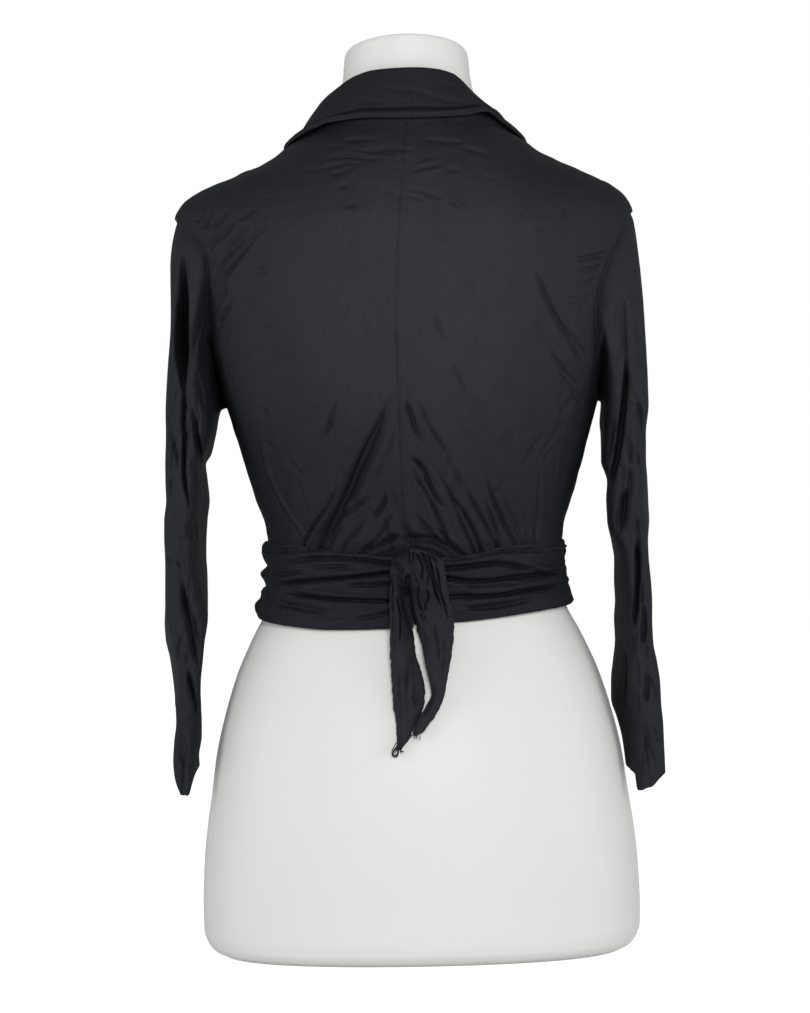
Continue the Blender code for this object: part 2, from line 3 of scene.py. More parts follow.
import bpy
import numpy as np
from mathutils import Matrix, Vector


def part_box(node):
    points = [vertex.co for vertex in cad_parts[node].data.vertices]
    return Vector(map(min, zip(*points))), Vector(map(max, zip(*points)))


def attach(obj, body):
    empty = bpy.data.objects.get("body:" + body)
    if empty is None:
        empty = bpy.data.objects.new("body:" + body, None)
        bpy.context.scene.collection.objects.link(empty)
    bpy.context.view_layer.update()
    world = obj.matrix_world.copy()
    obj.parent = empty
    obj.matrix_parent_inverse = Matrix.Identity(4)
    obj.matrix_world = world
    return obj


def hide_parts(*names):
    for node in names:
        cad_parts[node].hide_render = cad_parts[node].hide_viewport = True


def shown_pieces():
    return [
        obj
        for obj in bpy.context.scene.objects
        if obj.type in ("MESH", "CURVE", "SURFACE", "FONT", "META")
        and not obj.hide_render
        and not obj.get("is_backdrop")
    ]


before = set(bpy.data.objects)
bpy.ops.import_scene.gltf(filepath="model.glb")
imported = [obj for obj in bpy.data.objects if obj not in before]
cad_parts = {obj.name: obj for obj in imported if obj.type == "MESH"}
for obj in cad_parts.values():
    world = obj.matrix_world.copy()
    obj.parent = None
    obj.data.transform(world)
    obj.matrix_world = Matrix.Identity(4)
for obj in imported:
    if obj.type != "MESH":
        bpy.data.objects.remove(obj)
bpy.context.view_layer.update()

mm = 0.001
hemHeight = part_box("back_left")[0].z


# Curves, noise and creases

def smooth(knots, values, at):
    # a smooth line through the knots that never overshoots them
    knots, values = np.asarray(knots, float), np.asarray(values, float)
    rise = np.diff(values) / np.diff(knots)
    slopes = np.concatenate([rise[:1], np.zeros(len(knots) - 2), rise[-1:]])
    before, after = rise[:-1], rise[1:]
    same = before * after > 0
    slopes[1:-1][same] = 2 * before[same] * after[same] / (before + after)[same]
    at = np.clip(at, knots[0], knots[-1])
    i = np.clip(np.searchsorted(knots, at, side="right") - 1, 0, len(knots) - 2)
    step = knots[i + 1] - knots[i]
    u = (at - knots[i]) / step
    return (
        values[i] * (1 + 2 * u) * (1 - u) ** 2
        + values[i + 1] * u * u * (3 - 2 * u)
        + step * u * (1 - u) * (slopes[i] * (1 - u) - slopes[i + 1] * u)
    )


def column(rows, index):
    return np.array([row[index] for row in rows], float)


def fromTable(rows, index, at):
    # a smooth line through one column of a table whose first column rises
    return smooth(column(rows, 0), column(rows, index), at)


def unit(vectors):
    return vectors / np.linalg.norm(vectors, axis=-1, keepdims=True)


def runLength(points):
    # how far each point of a line is from the first, along the line
    return np.concatenate([[0], np.cumsum(np.linalg.norm(np.diff(points, axis=0), axis=1))])


def softened(points, times):
    for _ in range(times):
        points = np.concatenate([points[:1], (points[:-2] + 2 * points[1:-1] + points[2:]) / 4, points[-1:]])
    return points


def ease(low, high, at):
    u = np.clip((at - low) / (high - low), 0, 1)
    return u * u * (3 - 2 * u)


def hill(at, middle, reach):
    return np.exp(-(((at - middle) / reach) ** 2))


def noise(u, v, seed):
    # smooth lumps between -1 and 1, one for each unit of u and v
    size = 64
    lattice = np.random.default_rng(seed).uniform(-1, 1, (size, size))
    i, j = np.floor(u).astype(int), np.floor(v).astype(int)
    fu, fv = u - i, v - j
    fu, fv = fu * fu * (3 - 2 * fu), fv * fv * (3 - 2 * fv)

    def corner(di, dj):
        return lattice[(i + di) % size, (j + dj) % size]

    top = corner(0, 0) * (1 - fu) + corner(1, 0) * fu
    low = corner(0, 1) * (1 - fu) + corner(1, 1) * fu
    return top * (1 - fv) + low * fv


def lineThrough(points, pieces=6):
    # a smooth line through a crease's places
    points = np.array(points, float)
    far = runLength(points)
    at = np.linspace(0, far[-1], pieces * (len(points) - 1) + 1)
    if len(points) == 2:
        return np.stack([np.interp(at, far, points[:, k]) for k in range(2)], axis=-1), at / far[-1]
    return np.stack([smooth(far, points[:, k], at) for k in range(2)], axis=-1), at / far[-1]


def folded(a, b, creases, over=0.8, gaps=15):
    # how far out, and how far along a and b, the creases bring the cloth at the places a, b
    # all in mm; each crease is depth, half width, lean, fade in, fade out and its places
    # over is how far a steep side leans over, and creases deeper than gaps get steep walls
    out, moveA, moveB = np.zeros(a.shape), np.zeros(a.shape), np.zeros(a.shape)
    for depth, width, lean, fadeIn, fadeOut, *line in creases:
        path, share = lineThrough(line)
        reach = 7 * width
        near = (a > path[:, 0].min() - reach) & (a < path[:, 0].max() + reach)
        near &= (b > path[:, 1].min() - reach) & (b < path[:, 1].max() + reach)
        if not near.any():
            continue
        x, y = a[near], b[near]
        best = np.full(x.shape, 1e9)
        side, along, toA, toB = (np.zeros(x.shape) for _ in range(4))
        for k in range(len(path) - 1):
            px, py = path[k]
            dx, dy = path[k + 1] - path[k]
            size = dx * dx + dy * dy
            t = ((x - px) * dx + (y - py) * dy) / size
            inside = np.clip(t, 0, 1)
            gap = np.hypot(x - px - inside * dx, y - py - inside * dy)
            closer = gap < best
            best = np.where(closer, gap, best)
            cross = np.sign(dx * (y - py) - dy * (x - px))
            side = np.where(closer, cross, side)
            along = np.where(closer, share[k] + (share[k + 1] - share[k]) * inside, along)
            toA = np.where(closer, dy * cross / math.sqrt(size), toA)
            toB = np.where(closer, -dx * cross / math.sqrt(size), toB)
        strength = ease(0, max(fadeIn, 1e-3), along) * ease(1, 1 - max(fadeOut, 1e-3), along)
        size = width * (0.35 + 0.65 * strength)
        # s is the distance from the crease in half widths, with a sign for its side
        s = side * best / size
        # it is steep on one side and soft on the other
        steep = s * lean < 0
        s = s * np.where(steep, 1 + 0.9 * abs(lean), 1 - 0.45 * abs(lean))
        if depth > gaps:  # a gap with steep walls
            shape = -np.clip(1.0 - np.abs(s) / 1.2, 0, 1) ** 0.9
            if depth < 15:
                shape = shape + 0.16 * hill(np.abs(s), 2.3, 0.9)
        else:
            shape = -np.exp(0.1 - 1.05 * (s * s + 0.02) ** 0.62)
            shape = shape + 0.2 * hill(s, 2.5, 1.3) + 0.2 * hill(s, -2.5, 1.3)
        out[near] += depth * strength * shape
        # the steep side leans over the bottom of the crease
        lip = over * size * np.clip(depth * strength / width, 0, 1.4) * ease(0.9, 1.4, width)
        push = lip * steep * abs(lean) * hill(np.abs(s), 1.3, 0.75)
        moveA[near] += push * toA
        moveB[near] += push * toB
    return out, moveA, moveB


def creased(a, b, creases):
    return folded(a, b, creases)[0]


# The dress form

form = {
    "neckTilt": 0.185,
    "neckTop": (0.69, 0.72),  # heights between which the neck begins to slope
    "shoulderDrop": 0.0042,  # how much lower the shoulders are than in the table
    "dropAcross": (0.062, 0.11),
    "dropHeights": (0.52, 0.61),
    "bust": 0.0215,
    "bustPlace": (0.07, 0.468),
    "bustSize": (0.046, 0.05),
    "turns": 120,
    "rings": 180,
}
formRows = (
    # height, half width, back, front, fullness
    (0.0, 0.16, 0.101, 0.094, 0.09),
    (0.004, 0.168, 0.109, 0.102, 0.1),
    (0.01, 0.173, 0.114, 0.107, 0.1),
    (0.02, 0.1762, 0.1165, 0.1095, 0.1),
    (0.04, 0.1765, 0.1175, 0.1105, 0.1),
    (0.072, 0.1752, 0.119, 0.113, 0.1),
    (0.105, 0.1718, 0.119, 0.1145, 0.1),
    (0.129, 0.1681, 0.1175, 0.1145, 0.1),
    (0.161, 0.1636, 0.113, 0.112, 0.09),
    (0.194, 0.1558, 0.106, 0.108, 0.09),
    (0.226, 0.1456, 0.0975, 0.102, 0.08),
    (0.242, 0.1387, 0.0932, 0.0988, 0.08),
    (0.2584, 0.1308, 0.0895, 0.0955, 0.07),
    (0.275, 0.1218, 0.0862, 0.0925, 0.06),
    (0.295, 0.1148, 0.0835, 0.0892, 0.06),
    (0.315, 0.113, 0.082, 0.0875, 0.05),
    (0.3394, 0.1148, 0.0825, 0.088, 0.05),
    (0.372, 0.1244, 0.0855, 0.0915, 0.06),
    (0.404, 0.1332, 0.0895, 0.0965, 0.07),
    (0.4366, 0.143, 0.0935, 0.101, 0.08),
    (0.47, 0.1528, 0.0965, 0.1035, 0.09),
    (0.5, 0.1602, 0.098, 0.103, 0.1),
    (0.53, 0.166, 0.0985, 0.099, 0.1),
    (0.55, 0.1708, 0.098, 0.0955, 0.1),
    (0.57, 0.1755, 0.0965, 0.0915, 0.09),
    (0.585, 0.178, 0.095, 0.088, 0.08),
    (0.597, 0.1768, 0.0925, 0.0855, 0.07),
    (0.605, 0.173, 0.0905, 0.083, 0.05),
    (0.6115, 0.1665, 0.089, 0.0815, 0.04),
    (0.6196, 0.1515, 0.0865, 0.079, 0.03),
    (0.6277, 0.1335, 0.0835, 0.0765, 0.02),
    (0.6358, 0.116, 0.0805, 0.073, 0.0),
    (0.6439, 0.102, 0.0775, 0.069, 0.0),
    (0.652, 0.09, 0.0745, 0.065, 0.0),
    (0.66, 0.0785, 0.0712, 0.0615, 0.0),
    (0.668, 0.069, 0.068, 0.0585, 0.0),
    (0.678, 0.0605, 0.0642, 0.056, 0.0),
    (0.69, 0.0545, 0.06, 0.054, 0.0),
    (0.705, 0.0515, 0.0565, 0.0525, 0.0),
    (0.7206, 0.05, 0.0547, 0.0512, 0.0),
    (0.7236, 0.0488, 0.0535, 0.05, 0.0),
    (0.7246, 0.0455, 0.05, 0.0467, 0.0),
)


def formSize(height, k):
    return fromTable(formRows, k, height)


def formPoint(turn, height, bridged=False):
    # turn 0 is the centre back, a quarter turn the wearer's left side
    turn, height = np.broadcast_arrays(turn, height)
    sine, cosine = np.sin(turn), np.cos(turn)
    full = formSize(height, 4)
    depth = np.where(cosine > 0, formSize(height, 2), formSize(height, 3))
    x = formSize(height, 1) * sine * (1 + full * cosine**2)
    y = depth * cosine * (1 + full * sine**2)
    aside = np.abs(x) - form["bustPlace"][0]
    if bridged:  # cloth spans the hollow between the breasts
        aside = np.maximum(aside, 0)
    swell = hill(aside, 0, form["bustSize"][0]) * hill(height, form["bustPlace"][1], form["bustSize"][1])
    y = y - swell * (form["bust"] + (cloth["bustRoom"] if bridged else 0)) * ease(0, 0.35, -cosine)
    return np.stack([x, y, height + form["neckTilt"] * y * ease(*form["neckTop"], height)], axis=-1)


def outward(turn, height):
    a, b = 1e-3, 1e-4
    along = formPoint(turn + a, height, True) - formPoint(turn - a, height, True)
    up = formPoint(turn, height + b, True) - formPoint(turn, height - b, True)
    return unit(np.cross(up, along))


def lowerShoulders(points):
    points = np.array(points, float)
    away, height = np.abs(points[..., 0]), points[..., 2]
    drop = ease(*form["dropAcross"], away) * ease(*form["dropHeights"], height)
    points[..., 2] = height - form["shoulderDrop"] * drop
    return points


def addObject(name, data):
    obj = bpy.data.objects.new(name, data)
    bpy.context.scene.collection.objects.link(obj)
    return obj


def makeForm():
    turns = np.linspace(0, 2 * math.pi, form["turns"], endpoint=False)
    knots = column(formRows, 0)
    # rings lie closer where the outline turns
    share = np.linspace(0, len(knots) - 1, form["rings"])
    heights = np.interp(share, np.arange(len(knots)), knots)
    rings = lowerShoulders(formPoint(turns[None, :] + 0 * heights[:, None], heights[:, None]))
    points = rings.reshape(-1, 3)
    middleLow, middleTop = rings[0].mean(axis=0), rings[-1].mean(axis=0)
    points = np.concatenate([points, [middleLow, middleTop]])
    count = form["turns"]
    steps = [(j, (j + 1) % count) for j in range(count)]
    faces = [
        (i * count + j, i * count + k, (i + 1) * count + k, (i + 1) * count + j)
        for i in range(len(heights) - 1)
        for j, k in steps
    ]
    low, top, last = len(points) - 2, len(points) - 1, (len(heights) - 1) * count
    for j, k in steps:
        faces += [(low, k, j), (top, last + j, last + k)]
    mesh = bpy.data.meshes.new("form_shell")
    mesh.from_pydata(points.tolist(), [], faces)
    mesh.shade_smooth()
    obj = addObject("form_shell", mesh)
    mesh.materials.append(materials["white_form"])
    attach(obj, "root")
    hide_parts("dress_form")


# Cloth on the form

cloth = {
    "wall": 0.0009,
    "gap": 0.0008,  # between the body and what is sewn to it
    "seamGap": 0.0001,  # between the two halves of the back
    "lift": 0.0032,  # of the first layer above the form
    "layer": 0.0042,  # the lift that a second layer adds
    "frontLift": 0.0012,  # how much further out the fronts lie
    "frontTurns": (100, 112),  # degrees
    "overhangAcross": (0.12, 0.176),  # where the cloth stands out at the shoulder tips
    "overhangHeights": (0.5, 0.58),
    "bustRoom": 0.0024,
    # heights of the seams, and the y at which the shoulder and side seams lie
    "neckSeam": 0.66,
    "shoulderTip": 0.5965,
    "underarm": 0.441,
    "armholeY": -0.006,
}
sides = {
    "left": {
        "mirror": 1,
        "overhang": 0.0073,
        # degrees round from the shoulder tip, mm behind or in front of the shoulder seam
        "backReach": (
            (0, 0), (26, 27), (37, 46), (52, 58), (66, 56), (80, 48),
            (96, 36), (115, 25), (140, 15), (164, 6), (180, 0),
        ),
        "frontReach": ((0, 0), (30, 26), (60, 42), (90, 46), (120, 40), (150, 23), (180, 0)),
    },
    "right": {
        "mirror": -1,
        "overhang": -0.0008,
        "backReach": (
            (0, 0), (26, 28), (37, 41), (52, 50), (63, 55),
            (78, 59), (94, 60), (118, 49), (150, 28), (180, 0),
        ),
        "frontReach": ((0, 0), (30, 20), (60, 32), (90, 36), (120, 31), (150, 18), (180, 0)),
    },
}


def overForm(turn, height, lift):
    return formPoint(turn, height, True) + outward(turn, height) * lift[..., None]


def firstLift(turn):
    # the cloth lies a little further out in front than at the back
    return cloth["lift"] + cloth["frontLift"] * ease(*np.radians(cloth["frontTurns"]), turn)


def unfull(ratio, full):
    # undoes the fullness that formPoint gives
    value = np.clip(ratio, -1, 1)
    for _ in range(20):
        value = np.clip(ratio / (1 + full * (1 - value**2)), -1, 1)
    return value


def turnAtY(y, height):
    depth = np.where(y > 0, formSize(height, 2), formSize(height, 3))
    return np.arccos(unfull(y / depth, formSize(height, 4)))


def turnAtX(x, height):
    return math.pi - np.arcsin(unfull(x / formSize(height, 1), formSize(height, 4)))


def nearTurn(points):
    # roughly, the turn at which the form is nearest
    depth = np.where(points[..., 1] > 0, formSize(points[..., 2], 2), formSize(points[..., 2], 3))
    return np.arctan2(points[..., 0] / formSize(points[..., 2], 1), points[..., 1] / depth)


def aboveForm(points):
    turn, height = nearTurn(points), points[..., 2]
    normal = outward(turn, height)
    return ((points - formPoint(turn, height, True)) * normal).sum(axis=-1), normal


def settle(points, lift):
    # brings points square to the form until they are this far above it
    for _ in range(8):
        above, normal = aboveForm(points)
        points = points + normal * (lift - above)[..., None]
    return points


def outside(points, least):
    # pushes out what is nearer to the form than least, below the shoulders
    for _ in range(3):
        above, normal = aboveForm(points)
        short = np.maximum(least - above, 0) * ease(0.58, 0.56, points[..., 2])
        points = points + normal * short[..., None]
    return points


def setSide(points, side):
    # the left side's points, mirrored for the right, with how far the cloth stands out at the shoulder tip
    points = np.array(points, float)
    nearTip = ease(*cloth["overhangAcross"], points[..., 0]) * ease(*cloth["overhangHeights"], points[..., 2])
    points[..., 0] += side["overhang"] * nearTip
    points[..., 0] *= side["mirror"]
    return lowerShoulders(points)


def armhole(side, u):
    # u is 0 at the shoulder tip and goes down the back
    middle = (cloth["shoulderTip"] + cloth["underarm"]) / 2
    height = middle + (cloth["shoulderTip"] - cloth["underarm"]) / 2 * np.cos(u)
    degrees = np.degrees(np.abs(u))
    behind, before = (fromTable(side[k], 1, degrees) * mm for k in ("backReach", "frontReach"))
    return turnAtY(cloth["armholeY"] + np.where(u > 0, behind, -before), height), height


def outerEdge(side, rows, back):
    # rows from -1 to 0 run along the shoulder, to 1 round the armhole and to 2 down the side
    low = cloth["underarm"] + (hemHeight - cloth["underarm"]) * np.clip(rows - 1, 0, 1)
    ridge = cloth["shoulderTip"] + (cloth["neckSeam"] - cloth["shoulderTip"]) * np.clip(-rows, 0, 1)
    u = math.pi * np.clip(rows, 0, 1)
    holeTurn, holeHeight = armhole(side, u if back else -u)
    height = np.where(rows < 0, ridge, np.where(rows > 1, low, holeHeight))
    plain = turnAtY(np.full(rows.shape, cloth["armholeY"]), height)
    return np.where((rows < 0) | (rows > 1), plain, holeTurn), height


def clothObject(name, grid, flip, tube, node, look="black_cloth"):
    # one layer of cloth over a grid of points, in rows, with its node of the same piece
    rows, columns = grid.shape[:2]
    last = columns if tube else columns - 1
    i, j = np.meshgrid(np.arange(rows - 1), np.arange(last), indexing="ij")
    k = (j + 1) % columns
    here, below = i * columns, (i + 1) * columns
    faces = np.stack([here + j, below + j, below + k, here + k], axis=-1).reshape(-1, 4)
    if flip:
        faces = faces[:, ::-1]
    mesh = bpy.data.meshes.new(name)
    mesh.vertices.add(rows * columns)
    mesh.vertices.foreach_set("co", grid.reshape(-1).astype(np.float32))
    mesh.loops.add(faces.size)
    mesh.loops.foreach_set("vertex_index", faces.reshape(-1).astype(np.int32))
    mesh.polygons.add(len(faces))
    mesh.polygons.foreach_set("loop_start", np.arange(0, faces.size, 4, dtype=np.int32))
    mesh.update(calc_edges=True)
    mesh.validate()
    mesh.shade_smooth()
    uses = np.zeros(len(mesh.edges), int)
    loopEdges = np.empty(len(mesh.loops), np.int32)
    mesh.loops.foreach_get("edge_index", loopEdges)
    np.add.at(uses, loopEdges, 1)
    mesh.attributes.new("sharp_edge", "BOOLEAN", "EDGE").data.foreach_set("value", uses == 1)
    obj = addObject(name, mesh)
    wall = obj.modifiers.new("wall", "SOLIDIFY")
    wall.thickness = cloth["wall"]
    wall.offset = -1
    obj.data.materials.append(materials[look])
    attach(obj, "root")
    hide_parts(node)
    return obj


# The back

back = {
    "columns": 136,
    "shoulderRows": 70,
    "armholeRows": 112,
    "sideRows": 98,
    # in mm: how far the cloth sinks at its seams and at the shoulder tip
    "seamDip": 0.8,
    "armholeDip": 1.4,
    "tipDip": 1.8,
    "pucker": 0.3,  # mm beside the middle seam
    "depth": 1.5,  # times the depths in the table
    "sharpness": 0.8,  # times the widths in the table
    "crumple": 1.4,
    "fine": 144,  # short fine creases tried over both halves
    "standOff": 2.2,  # mm further out than the plain cloth, so that creases have room
    "room": 5.0,  # mm that the cloth stands off above the tie, between its folds
    "roomHeight": (375, 62),
    "roomAcross": (122, 55),
    "nearest": 2.2,  # mm
    "tipHeights": (565, 588),
    # heights in mm between which the cloth comes to lie close under the tie
    "tieHeights": (307, 333),
    "pressed": 2.0,  # mm
    "pressedHeights": (333, 316),
    "hollowHeights": (296, 312),
    "movedHeights": (314, 324),
    "nearTie": (324, 346),  # creases that end between these heights run on to the next one
    "underTie": 314,
}
backSeam = (
    # height, x
    (0.288, 0.008),
    (0.345, 0.0085),
    (0.39, 0.0092),
    (0.49, 0.0108),
    (0.545, 0.0096),
    (0.605, 0.0062),
    (0.66, 0.002),
)
backCreases = (
    # depth, half width, lean, fade in, fade out, places (x, height), all in mm
    # under the collar
    (1.0, 1.6, 0.5, 0.4, 0.4, (58, 646), (38, 648), (18, 646)),
    (0.7, 1.4, 0.5, 0.4, 0.4, (66, 642), (46, 644)),
    (1.2, 1.7, 0.5, 0.4, 0.3, (46, 640), (30, 637), (16, 639), (-7, 636)),
    (1.3, 2.0, 0.5, 0.4, 0.5, (72, 632), (50, 634), (26, 631), (10, 632)),
    (1.1, 1.8, 0.6, 0.4, 0.4, (78, 622), (62, 626), (46, 628), (28, 625)),
    (1.3, 1.3, 0.5, 0.3, 0.4, (64, 619), (50, 622), (40, 626)),
    (0.8, 1.2, 0.4, 0.4, 0.4, (57, 609), (42, 611)),
    (1.0, 1.1, 0.3, 0.3, 0.3, (52, 594), (37, 593)),
    (0.7, 0.9, 0.0, 0.4, 0.4, (62, 545), (42, 544)),
    (0.5, 0.9, 0.0, 0.4, 0.4, (123, 546), (107, 545)),
    (-1.0, 1.8, 0.3, 0.3, 0.5, (-1, 616), (-14, 619), (-32, 624)),
    (-0.8, 1.6, 0.3, 0.4, 0.5, (-2, 624), (-16, 627), (-30, 630)),
    (0.9, 2.0, 0.3, 0.4, 0.4, (-8, 646), (-28, 645), (-50, 642)),
    (1.0, 1.6, 0.3, 0.4, 0.4, (-36, 640), (-52, 637), (-70, 628)),
    (0.8, 1.6, 0.0, 0.4, 0.4, (-26, 622), (-44, 620)),
    (0.7, 1.2, 0.0, 0.4, 0.4, (-33, 598), (-37, 590)),
    (0.6, 1.0, 0.0, 0.4, 0.4, (-40, 600), (-42, 591)),
    (0.7, 1.6, 0.0, 0.4, 0.5, (-84, 590), (-92, 580)),
    # from the left armhole and shoulder
    (1.7, 1.3, -0.5, 0.3, 0.4, (155, 543), (138, 560), (121, 577)),
    (1.6, 1.3, -0.5, 0.2, 0.4, (149, 536), (133, 556), (116, 577)),
    (1.2, 1.2, -0.4, 0.3, 0.4, (146, 561), (133, 573), (123, 585)),
    (1.2, 1.3, -0.3, 0.3, 0.4, (160, 561), (152, 572), (143, 583)),
    (1.1, 1.2, -0.4, 0.3, 0.4, (151, 567), (143, 577), (135, 588)),
    (1.3, 1.3, -0.4, 0.3, 0.4, (154, 579), (147, 588), (141, 597)),
    (1.2, 1.2, -0.4, 0.3, 0.4, (163, 579), (158, 588), (153, 595)),
    (1.0, 1.2, -0.3, 0.3, 0.4, (168, 586), (160, 595)),
    (1.0, 1.4, 0.0, 0.4, 0.4, (137, 584), (126, 591), (118, 594)),
    (0.8, 1.6, 0.0, 0.4, 0.5, (134, 562), (118, 576), (104, 586)),
    (1.5, 1.4, -0.4, 0.2, 0.4, (152, 502), (146, 512), (137, 524)),
    (0.9, 1.4, -0.2, 0.4, 0.4, (153, 517), (147, 528), (141, 539)),
    (0.9, 1.2, 0.0, 0.4, 0.4, (155, 529), (142, 541)),
    (0.8, 1.4, 0.0, 0.4, 0.4, (152, 492), (142, 496)),
    (0.7, 1.2, 0.0, 0.4, 0.4, (122, 499), (110, 500), (104, 497)),
    (0.8, 1.1, 0.0, 0.4, 0.4, (108, 476), (96, 477), (84, 480)),
    (0.7, 0.9, 0.0, 0.4, 0.4, (94, 492), (94, 479)),
    (0.7, 1.0, 0.0, 0.4, 0.4, (70, 501), (69, 488), (72, 479)),
    # from the right armhole and shoulder
    (0.7, 1.3, 0.0, 0.4, 0.5, (-119, 596), (-122, 579)),
    (1.2, 1.5, 0.4, 0.4, 0.2, (-124, 548), (-140, 553), (-157, 557)),
    (1.0, 1.5, 0.4, 0.4, 0.2, (-127, 541), (-142, 544), (-152, 547)),
    (0.9, 1.6, 0.4, 0.5, 0.2, (-122, 530), (-136, 532), (-147, 536)),
    (0.8, 1.4, 0.2, 0.4, 0.2, (-118, 519), (-132, 519), (-143, 522)),
    (1.8, 1.5, 0.5, 0.3, 0.1, (-93, 552), (-98, 540), (-110, 513), (-122, 492), (-137, 466)),
    (1.4, 1.4, 0.4, 0.4, 0.2, (-103, 490), (-112, 473), (-124, 458), (-134, 449)),
    (1.3, 1.8, 0.3, 0.4, 0.2, (-112, 470), (-124, 453), (-137, 437)),
    (1.0, 1.4, 0.0, 0.4, 0.2, (-118, 500), (-130, 484), (-140, 470)),
    (0.9, 1.6, 0.0, 0.4, 0.4, (-96, 508), (-101, 492), (-104, 478)),
    (1.2, 1.7, 0.3, 0.4, 0.2, (-121, 454), (-126, 445), (-136, 434)),
    # down the middle of the right half
    (1.1, 1.3, 0.4, 0.4, 0.3, (-16, 512), (-21, 498), (-27, 484)),
    (1.3, 1.4, 0.5, 0.3, 0.4, (-29, 476), (-36, 458), (-46, 434)),
    (0.8, 1.3, 0.0, 0.4, 0.4, (2, 480), (-3, 462)),
    (0.9, 1.5, 0.2, 0.4, 0.4, (-30, 436), (-38, 419), (-50, 405)),
    (0.6, 1.3, 0.0, 0.4, 0.4, (-56, 520), (-60, 500)),
    (0.6, 1.1, 0.0, 0.4, 0.4, (-46, 540), (-50, 522)),
    # drawn in to the knot, left half
    (
        8.6, 5.2, -0.45, 0.35, 0.12,
        (17, 452), (25, 428), (34, 411), (43, 392), (53, 369), (62, 352), (70, 334),
    ),
    (-1.6, 3.6, 0.0, 0.4, 0.3, (18, 420), (28, 399), (38, 376), (46, 358)),
    (3.4, 1.7, -0.4, 0.4, 0.05, (53, 391), (59, 375), (66, 361), (76, 347), (86, 332)),
    (-1.0, 2.0, 0.0, 0.4, 0.2, (56, 378), (64, 360), (74, 345)),
    (2.4, 2.2, -0.3, 0.4, 0.4, (57, 448), (62, 432), (68, 417), (74, 406)),
    (1.0, 1.7, 0.0, 0.4, 0.4, (70, 442), (79, 428)),
    (-0.9, 1.5, 0.0, 0.35, 0.1, (121, 430), (118, 410), (113, 387), (104, 367), (93, 350), (85, 338)),
    (0.8, 1.3, 0.0, 0.4, 0.3, (90, 388), (86, 370), (80, 350)),
    (0.7, 1.2, 0.0, 0.4, 0.4, (88, 411), (86, 390)),
    (1.0, 1.4, 0.0, 0.5, 0.4, (76, 400), (87, 380)),
    (1.3, 1.6, 0.3, 0.4, 0.4, (11, 431), (16, 411), (20, 400), (27, 386)),
    (1.2, 1.5, 0.2, 0.4, 0.4, (21, 399), (29, 383), (37, 375)),
    (3.2, 2.2, -0.4, 0.4, 0.3, (21, 374), (25, 360), (33, 349)),
    (3.4, 2.3, 0.4, 0.4, 0.2, (30, 370), (42, 360), (51, 355), (65, 350)),
    (2.6, 2.0, 0.3, 0.4, 0.2, (46, 363), (59, 349), (67, 339)),
    (1.8, 1.4, 0.0, 0.4, 0.3, (29, 356), (23, 347), (20, 338)),
    (2.4, 1.8, 0.2, 0.4, 0.1, (34, 354), (43, 341), (50, 333)),
    (2.0, 1.6, 0.2, 0.4, 0.1, (53, 348), (64, 335)),
    (2.2, 1.6, -0.2, 0.4, 0.0, (12, 360), (20, 348), (28, 336), (36, 328)),
    (4.4, 2.4, 0.4, 0.2, 0.2, (9, 337), (18, 333), (28, 328), (44, 322)),
    (4.6, 2.8, 0.0, 0.3, 0.3, (18, 331), (6, 333), (-8, 333), (-22, 327)),
    (1.4, 1.3, 0.0, 0.5, 0.0, (92, 356), (86, 344), (84, 333)),
    (1.2, 1.2, 0.0, 0.5, 0.0, (80, 350), (79, 334)),
    # drawn in to the knot, right half
    (4.2, 2.3, 0.5, 0.2, 0.4, (5, 443), (0, 428), (-3, 418), (-9, 408)),
    (2.4, 1.6, 0.4, 0.4, 0.3, (-1, 450), (-10, 427), (-18, 413), (-24, 403), (-28, 392)),
    (4.2, 1.8, 0.4, 0.3, 0.25, (9, 402), (-1, 396), (-8, 388), (-12, 376), (-17, 366), (-25, 356)),
    (3.2, 1.7, 0.4, 0.35, 0.0, (6, 396), (-4, 379), (-12, 365), (-20, 345), (-26, 329)),
    (3.0, 1.5, 0.4, 0.4, 0.0, (-11, 396), (-20, 382), (-29, 365), (-34, 350), (-41, 333)),
    (1.3, 1.8, 0.0, 0.4, 0.4, (-23, 398), (-32, 382), (-38, 362)),
    (3.4, 1.5, 0.5, 0.3, 0.0, (-25, 372), (-34, 359), (-42, 345), (-49, 328)),
    (2.8, 1.4, 0.4, 0.35, 0.0, (-34, 381), (-46, 359), (-56, 339), (-62, 328)),
    (2.6, 1.3, 0.4, 0.35, 0.0, (-51, 392), (-56, 376), (-61, 361), (-68, 344), (-77, 328)),
    (1.4, 1.3, 0.3, 0.4, 0.1, (-61, 383), (-68, 364), (-77, 342)),
    (2.2, 1.3, 0.3, 0.4, 0.0, (-50, 369), (-58, 350), (-63, 331)),
    (1.0, 1.2, 0.0, 0.3, 0.2, (-96, 397), (-97, 378), (-96, 361), (-94, 338)),
    (0.8, 1.2, 0.0, 0.4, 0.4, (-89, 445), (-91, 430), (-96, 418)),
    (0.8, 1.2, 0.0, 0.4, 0.4, (-105, 413), (-111, 395), (-109, 378)),
    (0.9, 1.3, 0.0, 0.5, 0.1, (-82, 362), (-86, 340)),
    (2.8, 2.4, 0.3, 0.4, 0.0, (4, 360), (-6, 346), (-16, 334), (-26, 326)),
    (3.6, 3.4, 0.0, 0.5, 0.0, (10, 352), (6, 340), (2, 330)),
    (2.2, 1.8, 0.3, 0.3, 0.0, (-12, 350), (-20, 338), (-30, 327)),
)


def relief(points, normal, out, floor):
    # out is in mm, and the cloth never sinks deeper than floor
    out = np.where(out < -floor * 0.6, -floor * (0.6 + 0.4 * np.tanh((-out / floor - 0.6) / 0.4)), out)
    return points + normal * (out * mm)[..., None]


